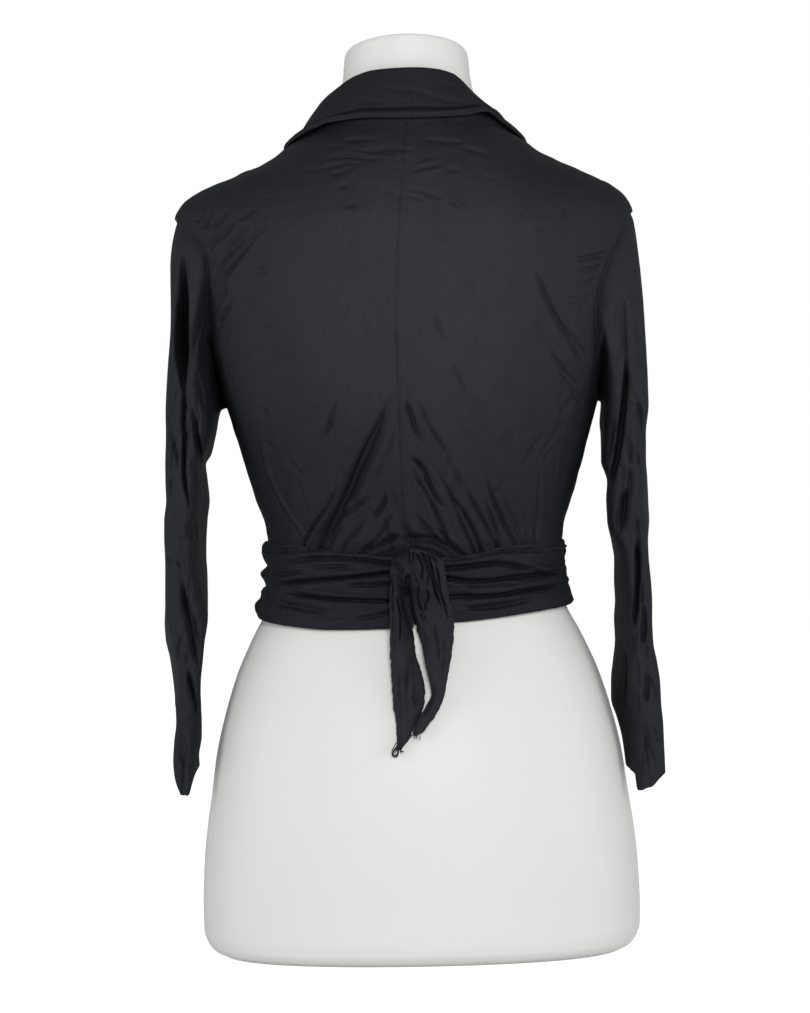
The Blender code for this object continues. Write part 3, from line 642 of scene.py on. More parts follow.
def crumple(a, b, seed, size=1.0):
    # a, b in mm: soft lumps and the fine upright crinkle of the cloth
    return size * (
        0.5 * noise(a / 34, b / 52, seed)
        + 0.38 * noise(a / 13, b / 26, seed + 1)
        + 0.19 * noise(a / 5.5, b / 14, seed + 2)
        + 0.12 * noise(a / 13, b / 5, seed + 3)
    )


def backGrid(side):
    rows = np.concatenate([
        np.linspace(-1, 0, back["shoulderRows"], endpoint=False),
        np.linspace(0, 1, back["armholeRows"], endpoint=False),
        np.linspace(1, 2, back["sideRows"]),
    ])
    end, height = outerEdge(side, rows, True)
    seamX = fromTable(backSeam, 1, height)
    start = np.arcsin((seamX * side["mirror"] + cloth["seamGap"] / 2) / formSize(height, 1))
    across = np.linspace(0, 1, back["columns"])
    across = across * (0.85 + 0.15 * across)  # closer together near the middle
    turn = start[:, None] + (end - start)[:, None] * across
    height = height[:, None] * np.ones_like(turn)
    return turn, height, overForm(turn, height, firstLift(turn))


def fineCreases(count, seed):
    # short creases, level under the collar, slanting by the armholes and running in to the knot low down
    chance = np.random.default_rng(seed)
    rows = []
    for _ in range(count):
        x, z = chance.uniform(-135, 135), chance.uniform(345, 640)
        if abs(x) > 95 + 0.3 * (z - 345):
            continue
        level = np.array([1, 0.18 * np.sign(x) * chance.normal(0.2, 1)])
        slant = np.array([-0.55 * np.sign(x), 1])
        knotWay = np.array([x, z - 285])
        way = level * ease(575, 615, z) + slant * ease(430, 500, z) * ease(620, 560, z)
        way = unit(way + unit(knotWay) * 1.2 * ease(480, 410, z))
        half = chance.uniform(5, 18)
        bend = np.array([way[1], -way[0]]) * chance.uniform(-1.6, 1.6)
        middle = np.array([x, z])
        places = [tuple(middle + way * half), tuple(middle + bend), tuple(middle - way * half)]
        depth = chance.uniform(0.25, 0.75) * (1 + 0.9 * ease(470, 400, z))
        rows.append((depth, chance.uniform(1.4, 2.4), chance.uniform(-0.5, 0.5), 0.4, 0.4, *places))
    return rows


def underTie(places):
    # a crease that comes near the tie runs on under it
    (x0, z0), (x1, z1) = places[-2:]
    low, high = back["nearTie"]
    if not low < z1 < high or z0 - z1 < 4:
        return places
    share = (z1 - back["underTie"]) / (z0 - z1)
    return (*places, (x1 + min(share, 1.6) * (x1 - x0), back["underTie"]))


def backCrease(crease):
    # the creases grow broader towards the shoulders, and deeper by the armholes
    depth, width, lean, fadeIn, fadeOut, *places = crease
    x, z = places[0]
    up = ease(470, 520, z)
    depth = depth * (1 + 0.35 * up) * (1 + 0.5 * ease(100, 118, abs(x)) * ease(480, 500, z))
    width = max(width * back["sharpness"] * (1 + 0.2 * up), 1.3 * (1 + 0.35 * up))
    return (depth, width, lean, fadeIn, fadeOut, *underTie(places))


def makeBack(name):
    side = sides[name]
    turn, height, points = backGrid(side)
    normal = outward(turn, height) * [side["mirror"], 1, 1]
    points = setSide(points, side)
    a, b = points[..., 0] / mm, points[..., 2] / mm
    rows = [backCrease(crease) for crease in backCreases]
    creases, moveA, moveB = folded(a, b, rows + fineCreases(back["fine"], 17))
    out = back["depth"] * creases + crumple(a, b, 11, back["crumple"])
    fromTop = np.linalg.norm(points - points[:1], axis=-1) / mm
    out = out * (0.3 + 0.7 * ease(2, 16, fromTop)) + back["standOff"] * ease(2, 26, fromTop)
    out = out + back["room"] * hill(b, *back["roomHeight"]) * ease(*back["roomAcross"], np.abs(a))
    fromSeam = np.linalg.norm(points - points[:, :1], axis=-1) / mm
    pucker = noise(b / 3.4, 0 * b, 12) + 0.6 * noise(b / 7.5, 0 * b, 13)
    out = out + back["pucker"] * pucker * hill(fromSeam, 3.2, 2.4)
    fromHole = np.linalg.norm(points - points[:, -1:], axis=-1) / mm
    out = out - back["seamDip"] * hill(fromSeam, 0, 1.1) + 0.35 * hill(fromSeam, 4, 2.2)
    out = out - back["armholeDip"] * hill(fromHole, 0, 2.2)
    out = out - back["tipDip"] * hill(fromHole, 0, 11) * ease(*back["tipHeights"], b)
    # under the tie it lies close, and its hollows run on to the tie
    hollow = np.minimum(back["depth"] * creases, 0)
    out = (out - hollow) * ease(*back["tieHeights"], b) - back["pressed"] * ease(*back["pressedHeights"], b)
    out = out + hollow * ease(*back["hollowHeights"], b)
    free = ease(1, 6, fromSeam) * ease(1, 6, fromHole) * ease(*back["movedHeights"], b)
    points[..., 0] += moveA * mm * free
    points[..., 2] += moveB * mm * free
    points = relief(points, normal, out, back["nearest"])
    obj = clothObject("cloth_back_" + name, points, side["mirror"] > 0, False, "back_" + name)


# The fronts

front = {
    "columns": 80,
    "rows": 110,
    "levelOut": 0.8,  # how soon a row reaches the height of its outer end
    "armholeDip": 1.2,  # mm
    "depth": 1.6,
    "room": 1.6,
    "roomHeight": (385, 45),
    "roomAcross": (128, 90),
    "nearest": 2.4,
    # how deep the creases of the over front may be, plain and where it crosses the other one
    "deepest": 2.0,
    "deepestOver": 0.9,
    "seeds": {"left": 47, "right": 31},
}
frontEdge = (
    # height, distance from the middle towards the front's own side
    (0.288, -0.104),
    (0.335, -0.099),
    (0.35, -0.082),
    (0.375, -0.052),
    (0.402, -0.024),
    (0.43, 0.0),
    (0.5, 0.0265),
    (0.55, 0.043),
    (0.6, 0.0575),
    (0.64, 0.0665),
    (0.655, 0.071),
    (0.66, 0.0783),
)
frontEdgeHeights = (
    0.6599, 0.6588, 0.6568, 0.6535, 0.644, 0.626, 0.598, 0.556, 0.508,
    0.464, 0.43, 0.403, 0.382, 0.364, 0.347, 0.322, 0.288,
)
frontRows = len(frontEdgeHeights) - 1
ridgeHeights = (0.66, 0.65, 0.64, 0.63, 0.62, 0.611, 0.6035, 0.5965)
frontCreases = (
    # depth, half width, lean, fade in, fade out, places (distance to the front's own side, height)
    (1.2, 3.2, 0.3, 0.3, 0.4, (150, 548), (132, 566), (112, 582)),
    (1.0, 2.8, 0.2, 0.3, 0.5, (146, 530), (124, 548)),
    (1.0, 2.8, 0.0, 0.3, 0.4, (150, 500), (134, 508), (116, 512)),
    (1.4, 3.6, 0.4, 0.3, 0.4, (146, 462), (120, 478), (96, 486)),
    (1.5, 3.4, 0.3, 0.3, 0.3, (150, 446), (118, 452), (84, 446), (52, 428)),
    (1.9, 4.2, 0.5, 0.3, 0.2, (142, 424), (104, 424), (62, 406), (24, 382), (-18, 356)),
    (1.6, 3.6, 0.3, 0.3, 0.2, (136, 404), (96, 400), (56, 382), (14, 358)),
    (1.7, 3.8, -0.3, 0.3, 0.1, (126, 378), (88, 372), (46, 354), (16, 340)),
    (1.4, 3.4, 0.3, 0.3, 0.1, (122, 358), (90, 352), (58, 338)),
    (1.6, 3.8, 0.4, 0.3, 0.2, (60, 428), (26, 404), (-14, 378), (-50, 352)),
    (1.3, 3.2, 0.2, 0.3, 0.2, (40, 430), (6, 406), (-32, 378), (-72, 350)),
    (1.2, 3.4, 0.0, 0.4, 0.3, (88, 436), (70, 420), (52, 408)),
    (0.9, 3.0, 0.0, 0.4, 0.4, (104, 392), (76, 388)),
    (0.9, 2.6, 0.0, 0.4, 0.4, (118, 600), (100, 588), (90, 566)),
    (0.8, 2.6, 0.0, 0.4, 0.4, (96, 608), (84, 592)),
    (0.8, 3.2, 0.0, 0.4, 0.5, (76, 440), (60, 424)),
)


def frontEdgeX(height):
    return fromTable(frontEdge, 1, height)


def frontLift(turn, height, over):
    lift = firstLift(turn)
    if not over:
        return lift
    x = formPoint(turn, height, True)[..., 0]
    underEdge = -frontEdgeX(height)
    return lift + cloth["layer"] * ease(underEdge + 0.022, underEdge + 0.004, x)


def frontGrid(side, over, rows, columns):
    # rows run from 0 along the shoulder to frontRows at the hem, and are half way at the underarm
    rows = np.asarray(rows, float)
    outerTurn, outerHeight = outerEdge(side, 2 * rows / frontRows, False)
    innerHeight = smooth(np.arange(frontRows + 1), frontEdgeHeights, rows)
    innerTurn = turnAtX(frontEdgeX(innerHeight), innerHeight)
    across = np.linspace(0, 1, columns)
    turn = innerTurn[:, None] + (outerTurn - innerTurn)[:, None] * across
    level = across * (1 + front["levelOut"] * (1 - across))
    height = innerHeight[:, None] + (outerHeight - innerHeight)[:, None] * level
    ridgeHeight = np.array(ridgeHeights)
    ridgeTurn = turnAtY(np.full(len(ridgeHeight), cloth["armholeY"]), ridgeHeight)
    ridge = overForm(ridgeTurn, ridgeHeight, firstLift(ridgeTurn))
    out = (ridge[:, 0] - ridge[0, 0]) / (ridge[-1, 0] - ridge[0, 0])
    slope = np.interp(across, out, ridgeHeight) - height[0]
    follow = np.clip(1 - 2 * rows / frontRows, 0, 1)
    height = height + slope * follow[:, None]
    points = overForm(turn, height, frontLift(turn, height, over))
    top = np.stack([np.interp(across, out, ridge[:, k]) for k in range(3)], axis=-1)
    nearTop = ease(0.5, 0, rows)[:, None, None]
    points = points * (1 - nearTop) + (top + points - points[:1]) * nearTop
    points[..., 1] -= cloth["gap"] * (rows[:, None] < 0.25)
    points[rows > frontRows / 2 - 0.1, -1, 1] -= cloth["gap"]
    return turn, height, points


def makeFront(name):
    side = sides[name]
    over = name == "right"
    rows = frontRows * np.linspace(0, 1, front["rows"]) ** 1.15
    turn, height, points = frontGrid(side, over, rows, front["columns"])
    normal = outward(turn, height) * [side["mirror"], 1, 1]
    points = setSide(points, side)
    a, b = points[..., 0] * side["mirror"] / mm, points[..., 2] / mm
    own = frontCreases
    if not over:
        own = [(0.9 * row[0], *row[1:5], *[(x - 3, z - 5) for x, z in row[5:]]) for row in frontCreases]
    out = front["depth"] * creased(a, b, own) + crumple(a, b, front["seeds"][name])
    out = out + hill(b, *front["roomHeight"]) * ease(*front["roomAcross"], np.abs(a)) * front["room"]
    fromHole = np.linalg.norm(points - points[:, -1:], axis=-1) / mm
    out = out - front["armholeDip"] * hill(fromHole, 0, 2.2)
    out = out * ease(300, 340, b) * ease(0, 0.6, rows)[:, None]
    lift = frontLift(turn, height, over) / mm
    if over:  # shallower where it crosses the other front
        plainLift = 6
        out = np.maximum(out, np.where(lift < plainLift, -front["deepest"], -front["deepestOver"]))
    else:  # nearly flat where the other front covers it
        free = ease(10, 30, a + 0 * b)
        out = out * (0.35 + 0.65 * free) - 0.5 * (1 - free)
        out = np.clip(out, -1.9, 0.6 + 6 * free)
    points = relief(points, normal, out, front["nearest"])
    obj = clothObject("cloth_front_" + name, points, side["mirror"] < 0, False, "front_" + name)


# The sleeves

sleeve = {
    "around": 124,
    "backShare": 2.2,  # how much closer together the points lie on the back
    "capRows": 70,
    "rows": 150,
    "squareness": 4.2,  # 2 is an oval
    "seenFrom": 2.6,  # how far behind the outline is looked at from
    "depth": 1.0,
    "slack": 64,  # short creases on the back of each
    "slackAcross": {"left": (166, 199), "right": (158, 193)},  # mm from the middle
    "seeds": {
        "left": {"lumps": 61, "slack": 23, "sideways": 81},
        "right": {"lumps": 71, "slack": 29, "sideways": 91},
    },
    "lumps": 1.3,
    "sideLumps": 0.8,
    "clear": 0.0016,  # of the form
    "outlineHeights": (0.44, 0.412),  # between which the outline takes over from the plain tube
    "allowance": (0.004, 0.0014),  # how far its seam reaches under the body, along and in
    "puff": 0.034,  # how far the cap swells in front and behind
    # how the cap leaves the seam and how it arrives at the arm, at its top and at the underarm
    "capTop": ((0.019, 0, -0.04), (0, 0, -0.15)),
    "capBottom": ((0.034, 0, 0.01), (0, 0, -0.03)),
}
sleeveRows = {
    "left": (
        # height, x, y, half thin, half broad, turn in degrees
        (0.42, 0.1795, -0.004, 0.0195, 0.057, 0),
        (0.385, 0.1838, -0.004, 0.0176, 0.0565, 3),
        (0.35, 0.185, -0.005, 0.017, 0.055, 6),
        (0.315, 0.186, -0.006, 0.0176, 0.0535, 4),
        (0.28, 0.1863, -0.007, 0.017, 0.0515, -3),
        (0.245, 0.1875, -0.007, 0.0135, 0.05, -8),
        (0.212, 0.1872, -0.006, 0.0102, 0.049, -6),
        (0.18, 0.1868, -0.004, 0.0112, 0.048, 0),
        (0.155, 0.188, -0.002, 0.01, 0.047, 0),
        (0.133, 0.1888, -0.001, 0.0085, 0.046, 0),
    ),
    "right": (
        (0.42, 0.1708, -0.004, 0.0188, 0.057, 0),
        (0.385, 0.1712, -0.004, 0.0185, 0.0565, -4),
        (0.35, 0.1724, -0.005, 0.016, 0.055, -6),
        (0.315, 0.1748, -0.006, 0.0152, 0.0535, 2),
        (0.28, 0.1758, -0.006, 0.015, 0.0515, 5),
        (0.245, 0.1769, -0.005, 0.0138, 0.05, 7),
        (0.212, 0.1772, -0.003, 0.011, 0.048, 5),
        (0.18, 0.18, -0.001, 0.0088, 0.0465, 1),
        (0.155, 0.1818, 0.0, 0.008, 0.0455, -1),
        (0.133, 0.1818, 0.0, 0.0078, 0.045, -2),
    ),
}
sleeveOutline = {
    # height, outer edge, inner edge, in mm from the middle
    "left": (
        (125, 198.5, 176.5),
        (141, 198.5, 177.0),
        (157, 199.4, 178.0),
        (173, 198.3, 175.6),
        (189, 196.3, 175.3),
        (205, 196.9, 175.9),
        (221, 198.2, 175.5),
        (238, 200.3, 173.6),
        (254, 203.3, 171.7),
        (270, 203.8, 169.0),
        (286, 203.5, 168.6),
        (302, 203.2, 168.4),
        (319, 202.9, 168.9),
        (335, 203.4, 168.6),
        (351, 203.1, 167.5),
        (367, 201.2, 165.6),
        (383, 201.5, 166.9),
        (396, 201.4, 168.2),
        (404, 201.0, 163.6),
        (416, 200.3, 160.6),
        (440, 199.4, 156.9),
        (450, 199.0, 156.0),
    ),
    "right": (
        (122, 199.0, 168.0),
        (141, 199.3, 167.4),
        (149, 199.1, 166.7),
        (166, 198.6, 164.6),
        (182, 198.1, 160.8),
        (198, 196.8, 156.3),
        (214, 196.3, 156.6),
        (230, 194.2, 158.5),
        (247, 191.2, 160.4),
        (263, 190.7, 159.9),
        (279, 191.0, 161.0),
        (295, 190.4, 160.5),
        (312, 189.1, 160.8),
        (328, 188.6, 158.7),
        (344, 189.8, 155.8),
        (360, 189.2, 155.2),
        (376, 188.7, 156.3),
        (393, 188.2, 151.8),
        (409, 188.5, 152.0),
        (434, 188.4, 150.9),
        (450, 188.2, 150.6),
    ),
}
cuffs = {
    # degrees round from the outer side by the back, height of the edge in mm
    "left": (
        (0, 150), (30, 147.5), (50, 143), (64, 139.5), (78, 135.5), (88, 132), (98, 131.5), (106, 132.5),
        (116, 136.5), (128, 141.5), (148, 146), (180, 149), (220, 150), (270, 147), (320, 149), (360, 151),
    ),
    "right": (
        (0, 143), (30, 142), (51, 141), (68, 139), (79, 136.5), (86, 133.5), (92, 130.5), (102, 129),
        (114, 129), (121, 130.5), (126, 136), (132, 141.5), (150, 143.5), (180, 144), (220, 146), (270, 142),
        (320, 143), (360, 143),
    ),
}
sleeveCreases = {
    # depth, half width, lean, fade in, fade out, places (mm from the middle, height)
    "leftBack": (
        (
            62.0, 5.4, 0.0, 0.55, 0.35,
            (180, 574), (180.5, 556), (181, 531), (182, 514),
            (182.6, 498), (182.8, 482), (182.4, 465), (181, 447),
        ),
        (
            16.0, 1.9, 0.3, 0.25, 0.25,
            (181, 468), (181, 440), (182, 415), (182, 390), (181, 375), (179, 365), (177, 354),
        ),
        (22.0, 2.9, -0.4, 0.45, 0.2, (177, 449), (175, 431), (172, 407), (169, 386), (165, 369), (164, 360)),
        (6.0, 2.0, 0.4, 0.3, 0.3, (195, 436), (193, 424), (190, 412), (186, 394)),
        (4.0, 1.8, 0.0, 0.3, 0.3, (192, 452), (194, 436), (193, 424)),
        (
            56.0, 4.6, 0.0, 0.9, 0.0,
            (162, 514), (161.4, 498), (160, 481), (157.5, 465), (155.4, 449), (153, 436),
        ),
        (5.0, 2.4, 0.0, 0.4, 0.4, (172, 470), (168, 452), (166, 436)),
        (0.8, 0.9, 0.0, 0.2, 0.2, (197, 353), (185, 354), (172, 353)),
        (12.0, 2.4, 0.5, 0.25, 0.25, (176, 352), (176, 343), (175, 335)),
        (3.0, 1.4, 0.3, 0.2, 0.2, (176, 336), (172, 332), (166, 329)),
        (4.0, 1.6, 0.3, 0.2, 0.3, (199, 322), (196, 320), (192, 320)),
        (2.0, 1.4, 0.0, 0.3, 0.3, (190, 315), (186, 316)),
        (10.0, 5.0, 0.4, 0.35, 0.35, (172, 342), (171, 318), (170, 303), (169, 288)),
        (11.0, 2.3, -0.6, 0.3, 0.3, (188, 306), (187, 293), (184, 276), (182, 260), (179, 244), (175, 228)),
        (5.0, 4.0, 0.0, 0.4, 0.4, (178, 280), (177, 262), (173, 248)),
        (10.0, 2.3, -0.6, 0.3, 0.3, (184, 233), (183, 219), (180, 207), (177, 195)),
        (8.0, 4.2, 0.4, 0.35, 0.35, (179, 204), (176, 184), (174, 162)),
        (3.0, 2.4, 0.0, 0.3, 0.3, (190, 190), (188, 170), (189, 152)),
        (-2.0, 3.0, 0.0, 0.3, 0.3, (183, 186), (183, 168), (184, 148)),
    ),
    "leftFront": (
        (12.0, 4.6, 0.2, 0.2, 0.2, (184, 540), (182, 500), (184, 452), (186, 410)),
        (8.0, 3.4, 0.2, 0.3, 0.3, (178, 420), (182, 380), (188, 350)),
        (9.0, 3.6, 0.3, 0.3, 0.3, (190, 330), (185, 300), (178, 270)),
        (8.0, 3.2, 0.3, 0.3, 0.3, (180, 262), (186, 230), (190, 205)),
        (6.0, 3.0, 0.0, 0.3, 0.2, (185, 190), (188, 160), (190, 140)),
        (5.0, 3.0, 0.0, 0.3, 0.3, (196, 390), (198, 350)),
        (4.0, 2.6, 0.0, 0.3, 0.3, (174, 345), (172, 310)),
    ),
    "rightBack": (
        (5.0, 3.6, -0.4, 0.35, 0.3, (167, 530), (168, 503), (169, 487), (170, 466)),
        (
            22.0, 3.2, -0.6, 0.3, 0.2,
            (170, 482), (171, 456), (170, 440), (168, 424), (165, 403), (161, 384), (155, 364),
        ),
        (36.0, 3.2, 0.0, 0.5, 0.0, (152.5, 496), (152, 478), (151.4, 465), (150.6, 452), (150, 438)),
        (8.0, 3.0, 0.4, 0.35, 0.35, (174, 449), (179, 432), (182, 408), (184, 382)),
        (4.0, 1.4, 0.0, 0.3, 0.3, (178, 412), (178, 386)),
        (8.0, 4.6, 0.0, 0.35, 0.35, (160, 428), (157, 408), (155, 390)),
        (5.0, 1.7, 0.3, 0.3, 0.3, (171, 388), (171, 358)),
        (2.2, 1.6, 0.0, 0.35, 0.35, (177, 538), (177, 506)),
        (3.0, 2.4, 0.0, 0.35, 0.35, (183, 520), (184, 484), (183, 452)),
        (12.0, 2.8, -0.5, 0.25, 0.3, (170, 372), (168, 355), (166, 343), (162, 332)),
        (18.0, 2.5, 0.2, 0.25, 0.25, (177, 333), (176, 319), (176, 302), (175, 286), (174, 270), (172, 254)),
        (6.0, 1.7, 0.0, 0.25, 0.35, (173, 258), (171, 237), (168, 218)),
        (4.5, 1.5, 0.0, 0.3, 0.3, (181, 280), (181, 261), (179, 241)),
        (14.5, 5.6, -0.5, 0.3, 0.3, (162, 252), (164, 243), (167, 229), (166, 212), (164, 196), (162, 182)),
        (5.0, 1.9, 0.0, 0.3, 0.3, (184, 224), (182, 210), (181, 197)),
        (3.0, 1.5, 0.0, 0.3, 0.3, (185, 220), (187, 210), (191, 197)),
        (4.0, 1.7, 0.0, 0.3, 0.3, (172, 214), (171, 202), (164, 188)),
        (2.5, 1.4, 0.0, 0.3, 0.3, (185, 179), (191, 173)),
        (2.0, 1.3, 0.0, 0.3, 0.3, (187, 171), (194, 165)),
        (3.0, 3.0, 0.0, 0.35, 0.35, (178, 188), (180, 166), (180, 146)),
        (4.0, 2.2, 0.0, 0.3, 0.3, (164, 330), (163, 312), (165, 296)),
        (2.5, 1.8, 0.0, 0.3, 0.3, (184, 340), (185, 318), (184, 300)),
    ),
    "rightFront": (
        (11.0, 4.4, 0.2, 0.2, 0.2, (174, 530), (172, 490), (175, 440), (178, 400)),
        (8.0, 3.2, 0.2, 0.3, 0.3, (164, 420), (168, 380), (176, 350)),
        (9.0, 3.6, 0.3, 0.3, 0.3, (180, 336), (174, 300), (168, 268)),
        (8.0, 3.4, 0.3, 0.3, 0.3, (172, 258), (176, 226), (184, 200)),
        (6.0, 3.0, 0.0, 0.3, 0.2, (178, 190), (180, 160), (182, 135)),
        (5.0, 3.0, 0.0, 0.3, 0.3, (186, 380), (186, 340)),
    ),
}


def slackCreases(name, seed):
    # the short uneven creases of a slack sleeve, most of them running down it
    chance = np.random.default_rng(seed)
    low, high = sleeve["slackAcross"][name]
    rows = []
    for _ in range(sleeve["slack"]):
        share, z = chance.uniform(0.1, 0.9), chance.uniform(142, 540)
        x = low + (high - low) * share
        slant = chance.normal(0.06, 0.13)
        half = chance.uniform(9, 27)
        bend = chance.uniform(-2.4, 2.4)
        places = [(x - slant * half, z + half), (x + bend, z), (x + slant * half, z - half)]
        depth = chance.uniform(0.8, 2.8) * ease(545, 470, z)
        rows.append((depth, chance.uniform(1.0, 1.9), chance.uniform(-0.7, 0.7), 0.4, 0.4, *places))
    return rows


def sleeveSection(rows, height, u):
    # u goes round from the outer side by the back
    x, y, thin, broad, turn = (fromTable(rows[::-1], k, height) for k in range(1, 6))
    turn = np.radians(turn)
    power = 2 / sleeve["squareness"]
    across = thin * (np.sign(np.cos(u)) * np.abs(np.cos(u)) ** power)
    along = broad * (np.sign(np.sin(u)) * np.abs(np.sin(u)) ** power)
    return np.stack(
        [
            x + across * np.cos(turn) + along * np.sin(turn),
            y + along * np.cos(turn) - across * np.sin(turn),
            height + 0 * u,
        ],
        axis=-1,
    )


def sleeveGrid(name):
    # the cap's rows and then the straight ones; how far each point is from the seam and down the sleeve
    side = sides[name]
    rows = sleeveRows[name]
    fine = np.linspace(0, 2 * math.pi, 6001)
    section = sleeveSection(rows, np.full(len(fine), 0.36), fine)
    step = np.linalg.norm(np.diff(section, axis=0), axis=1)
    step = step * (1 + sleeve["backShare"] * ease(0.3, 0.7, np.sin(fine[1:])))
    far = np.concatenate([[0], np.cumsum(step)])
    u = np.interp(np.linspace(0, far[-1], sleeve["around"], endpoint=False), far, fine)
    turn, seamHeight = armhole(side, np.where(u > math.pi, u - 2 * math.pi, u))
    seam = overForm(turn, seamHeight, firstLift(turn))
    around = np.roll(seam, -1, axis=0) - np.roll(seam, 1, axis=0)
    inward = unit(np.cross(around, outward(turn, seamHeight)))
    start = seam + inward * cloth["gap"]
    topHeight = rows[0][0]
    top = ((1 + np.cos(u)) / 2)[:, None]
    leave, arrive = (
        top * np.array(sleeve["capTop"][k]) + (1 - top) * np.array(sleeve["capBottom"][k]) for k in (0, 1)
    )
    leave = leave + np.stack([0 * u, sleeve["puff"] * np.sin(u), 0 * u], axis=-1)
    first = sleeveSection(rows, np.full(len(u), topHeight), u)
    share = np.linspace(0, 1, sleeve["capRows"], endpoint=False)[:, None, None]
    cap = (
        start * (1 + 2 * share) * (1 - share) ** 2
        + first * share**2 * (3 - 2 * share)
        + leave * share * (1 - share) ** 2
        - arrive * share**2 * (1 - share)
    )
    edge = fromTable(cuffs[name], 1, np.degrees(u)) * mm
    down = np.linspace(0, 1, sleeve["rows"])[:, None]
    height = topHeight + (edge - topHeight) * down
    straight = sleeveSection(rows, height, u + 0 * height)
    # the seam allowance lies under the edge of the body's cloth
    reach, under = sleeve["allowance"]
    cap[0] = seam - inward * reach - outward(turn, seamHeight) * under
    points = np.concatenate([cap, straight])
    # the tube is fitted to its outline as it looks from behind
    outer, inner = (fromTable(sleeveOutline[name], k, points[..., 2] / mm) * mm for k in (1, 2))
    nearer = 1 / (1 - points[..., 1] / sleeve["seenFrom"])
    seen = points[..., 0] * nearer
    flatSide = seen[sleeve["capRows"]:]
    high = np.concatenate([np.full(sleeve["capRows"], flatSide[0].max()), flatSide.max(axis=1)])
    low = np.concatenate([np.full(sleeve["capRows"], flatSide[0].min()), flatSide.min(axis=1)])
    fitted = (inner + (seen - low[:, None]) / (high - low)[:, None] * (outer - inner)) / nearer
    weight = ease(*sleeve["outlineHeights"], points[..., 2])
    points[..., 0] = points[..., 0] * (1 - weight) + fitted * weight
    capShare = np.concatenate([share[:, 0, 0], np.ones(sleeve["rows"])])[:, None]
    downShare = np.concatenate([np.zeros(sleeve["capRows"]), down[:, 0]])[:, None]
    return points, u, capShare, downShare


def makeSleeve(name):
    side = sides[name]
    points, u, capShare, downShare = sleeveGrid(name)
    seeds = sleeve["seeds"][name]
    placed = setSide(points, side)
    a, b = placed[..., 0] * side["mirror"] / mm, placed[..., 2] / mm
    back = ease(0.02, 0.45, np.sin(u)) * np.ones_like(a)
    forward = ease(0.02, 0.45, -np.sin(u)) * np.ones_like(a)
    lumps = crumple(a * 1.6, b, seeds["lumps"], sleeve["lumps"])
    capFade = ease(0.0, 0.09, capShare)
    slack = slackCreases(name, seeds["slack"])
    behind, moveA, moveB = (c * back for c in folded(a, b, [*sleeveCreases[name + "Back"], *slack]))
    ahead, moveC, moveD = (c * forward for c in folded(a, b, sleeveCreases[name + "Front"]))
    behind, ahead = behind * sleeve["depth"], ahead * sleeve["depth"]
    edge = ease(0.0, 0.3, capShare) * ease(1, 0.96, downShare)
    within = edge * ease(0.98, 0.8, np.abs(np.cos(u)) ** (2 / sleeve["squareness"]))
    placed[..., 0] += (moveA + moveC) * side["mirror"] * mm * within
    placed[..., 2] += (moveB + moveD) * mm * edge
    placed[..., 1] += (behind + lumps * back) * mm * capFade
    placed[..., 1] -= (ahead + lumps * forward) * mm * capFade
    sideways = crumple(placed[..., 1] / mm * 0.8, b, seeds["sideways"], sleeve["sideLumps"])
    edgeOnly = (1 - back) * (1 - forward)
    placed[..., 0] += side["mirror"] * np.cos(u) * sideways * edgeOnly * mm * capFade
    placed = outside(placed, sleeve["clear"])
    flip = side["mirror"] < 0
    # the sleeve gets the copy of the jersey painted paler, as if better lit
    obj = clothObject("cloth_sleeve_" + name, placed, flip, True, "sleeve_" + name, "painted_lighter_cloth")


# The collar

collar = {
    "fold": 0.0028,  # radius
    "gap": 0.0011,
    "seamX": -0.0035,  # where the two halves meet
    "straightReach": 0.03,
    "ends": {"left": 0.456, "right": 0.356},  # the heights at which they end
    "slant": 0.5,  # of the left one's end
    "slantReach": 0.07,
    "roll": 2.6,  # mm that the rolled lower edge stands out
    "crumple": 0.8,
    # its first two columns lie under the body's cloth: how far down from the seam, and how far out
    "allowance": ((0.0026, -0.0019), (0.0008, -0.0015)),
    "seeds": {"left": 111, "right": 101},
    "rows": 150,
    "columns": {"stand": 14, "fold": 12, "fall": 48},
}
collarRows = {
    # distance along the seam, stand, how far out the fold is, fall, how far out its edge is
    "left": (
        (0.0, 0.044, 0.008, -0.0005, 0.0062),
        (0.03, 0.044, 0.0085, -0.0005, 0.0062),
        (0.05, 0.042, 0.0095, 0.0015, 0.0062),
        (0.065, 0.037, 0.0105, 0.0045, 0.0062),
        (0.08, 0.029, 0.0105, 0.009, 0.0058),
        (0.092, 0.0225, 0.0095, 0.0125, 0.0046),
        (0.104, 0.0185, 0.0075, 0.0165, 0.0034),
        (0.118, 0.0165, 0.006, 0.0215, 0.0028),
        (0.15, 0.015, 0.0062, 0.028, 0.0044),
        (0.19, 0.014, 0.0068, 0.034, 0.0056),
        (0.29, 0.012, 0.0065, 0.033, 0.006),
        (0.38, 0.0105, 0.0065, 0.027, 0.0058),
        (0.48, 0.008, 0.006, 0.015, 0.0056),
    ),
    "right": (
        (0.0, 0.044, 0.008, -0.0005, 0.0062),
        (0.03, 0.044, 0.008, -0.0005, 0.0062),
        (0.05, 0.0425, 0.008, -0.002, 0.0062),
        (0.062, 0.038, 0.007, -0.0045, 0.006),
        (0.074, 0.028, 0.0055, -0.0045, 0.0056),
        (0.086, 0.0195, 0.0045, -0.002, 0.0044),
        (0.1, 0.0155, 0.004, 0.003, 0.003),
        (0.118, 0.014, 0.004, 0.012, 0.0028),
        (0.15, 0.014, 0.0052, 0.025, 0.0044),
        (0.19, 0.014, 0.0065, 0.034, 0.0056),
        (0.29, 0.012, 0.0065, 0.033, 0.006),
        (0.38, 0.0105, 0.0065, 0.027, 0.0058),
        (0.48, 0.008, 0.006, 0.015, 0.0056),
    ),
}
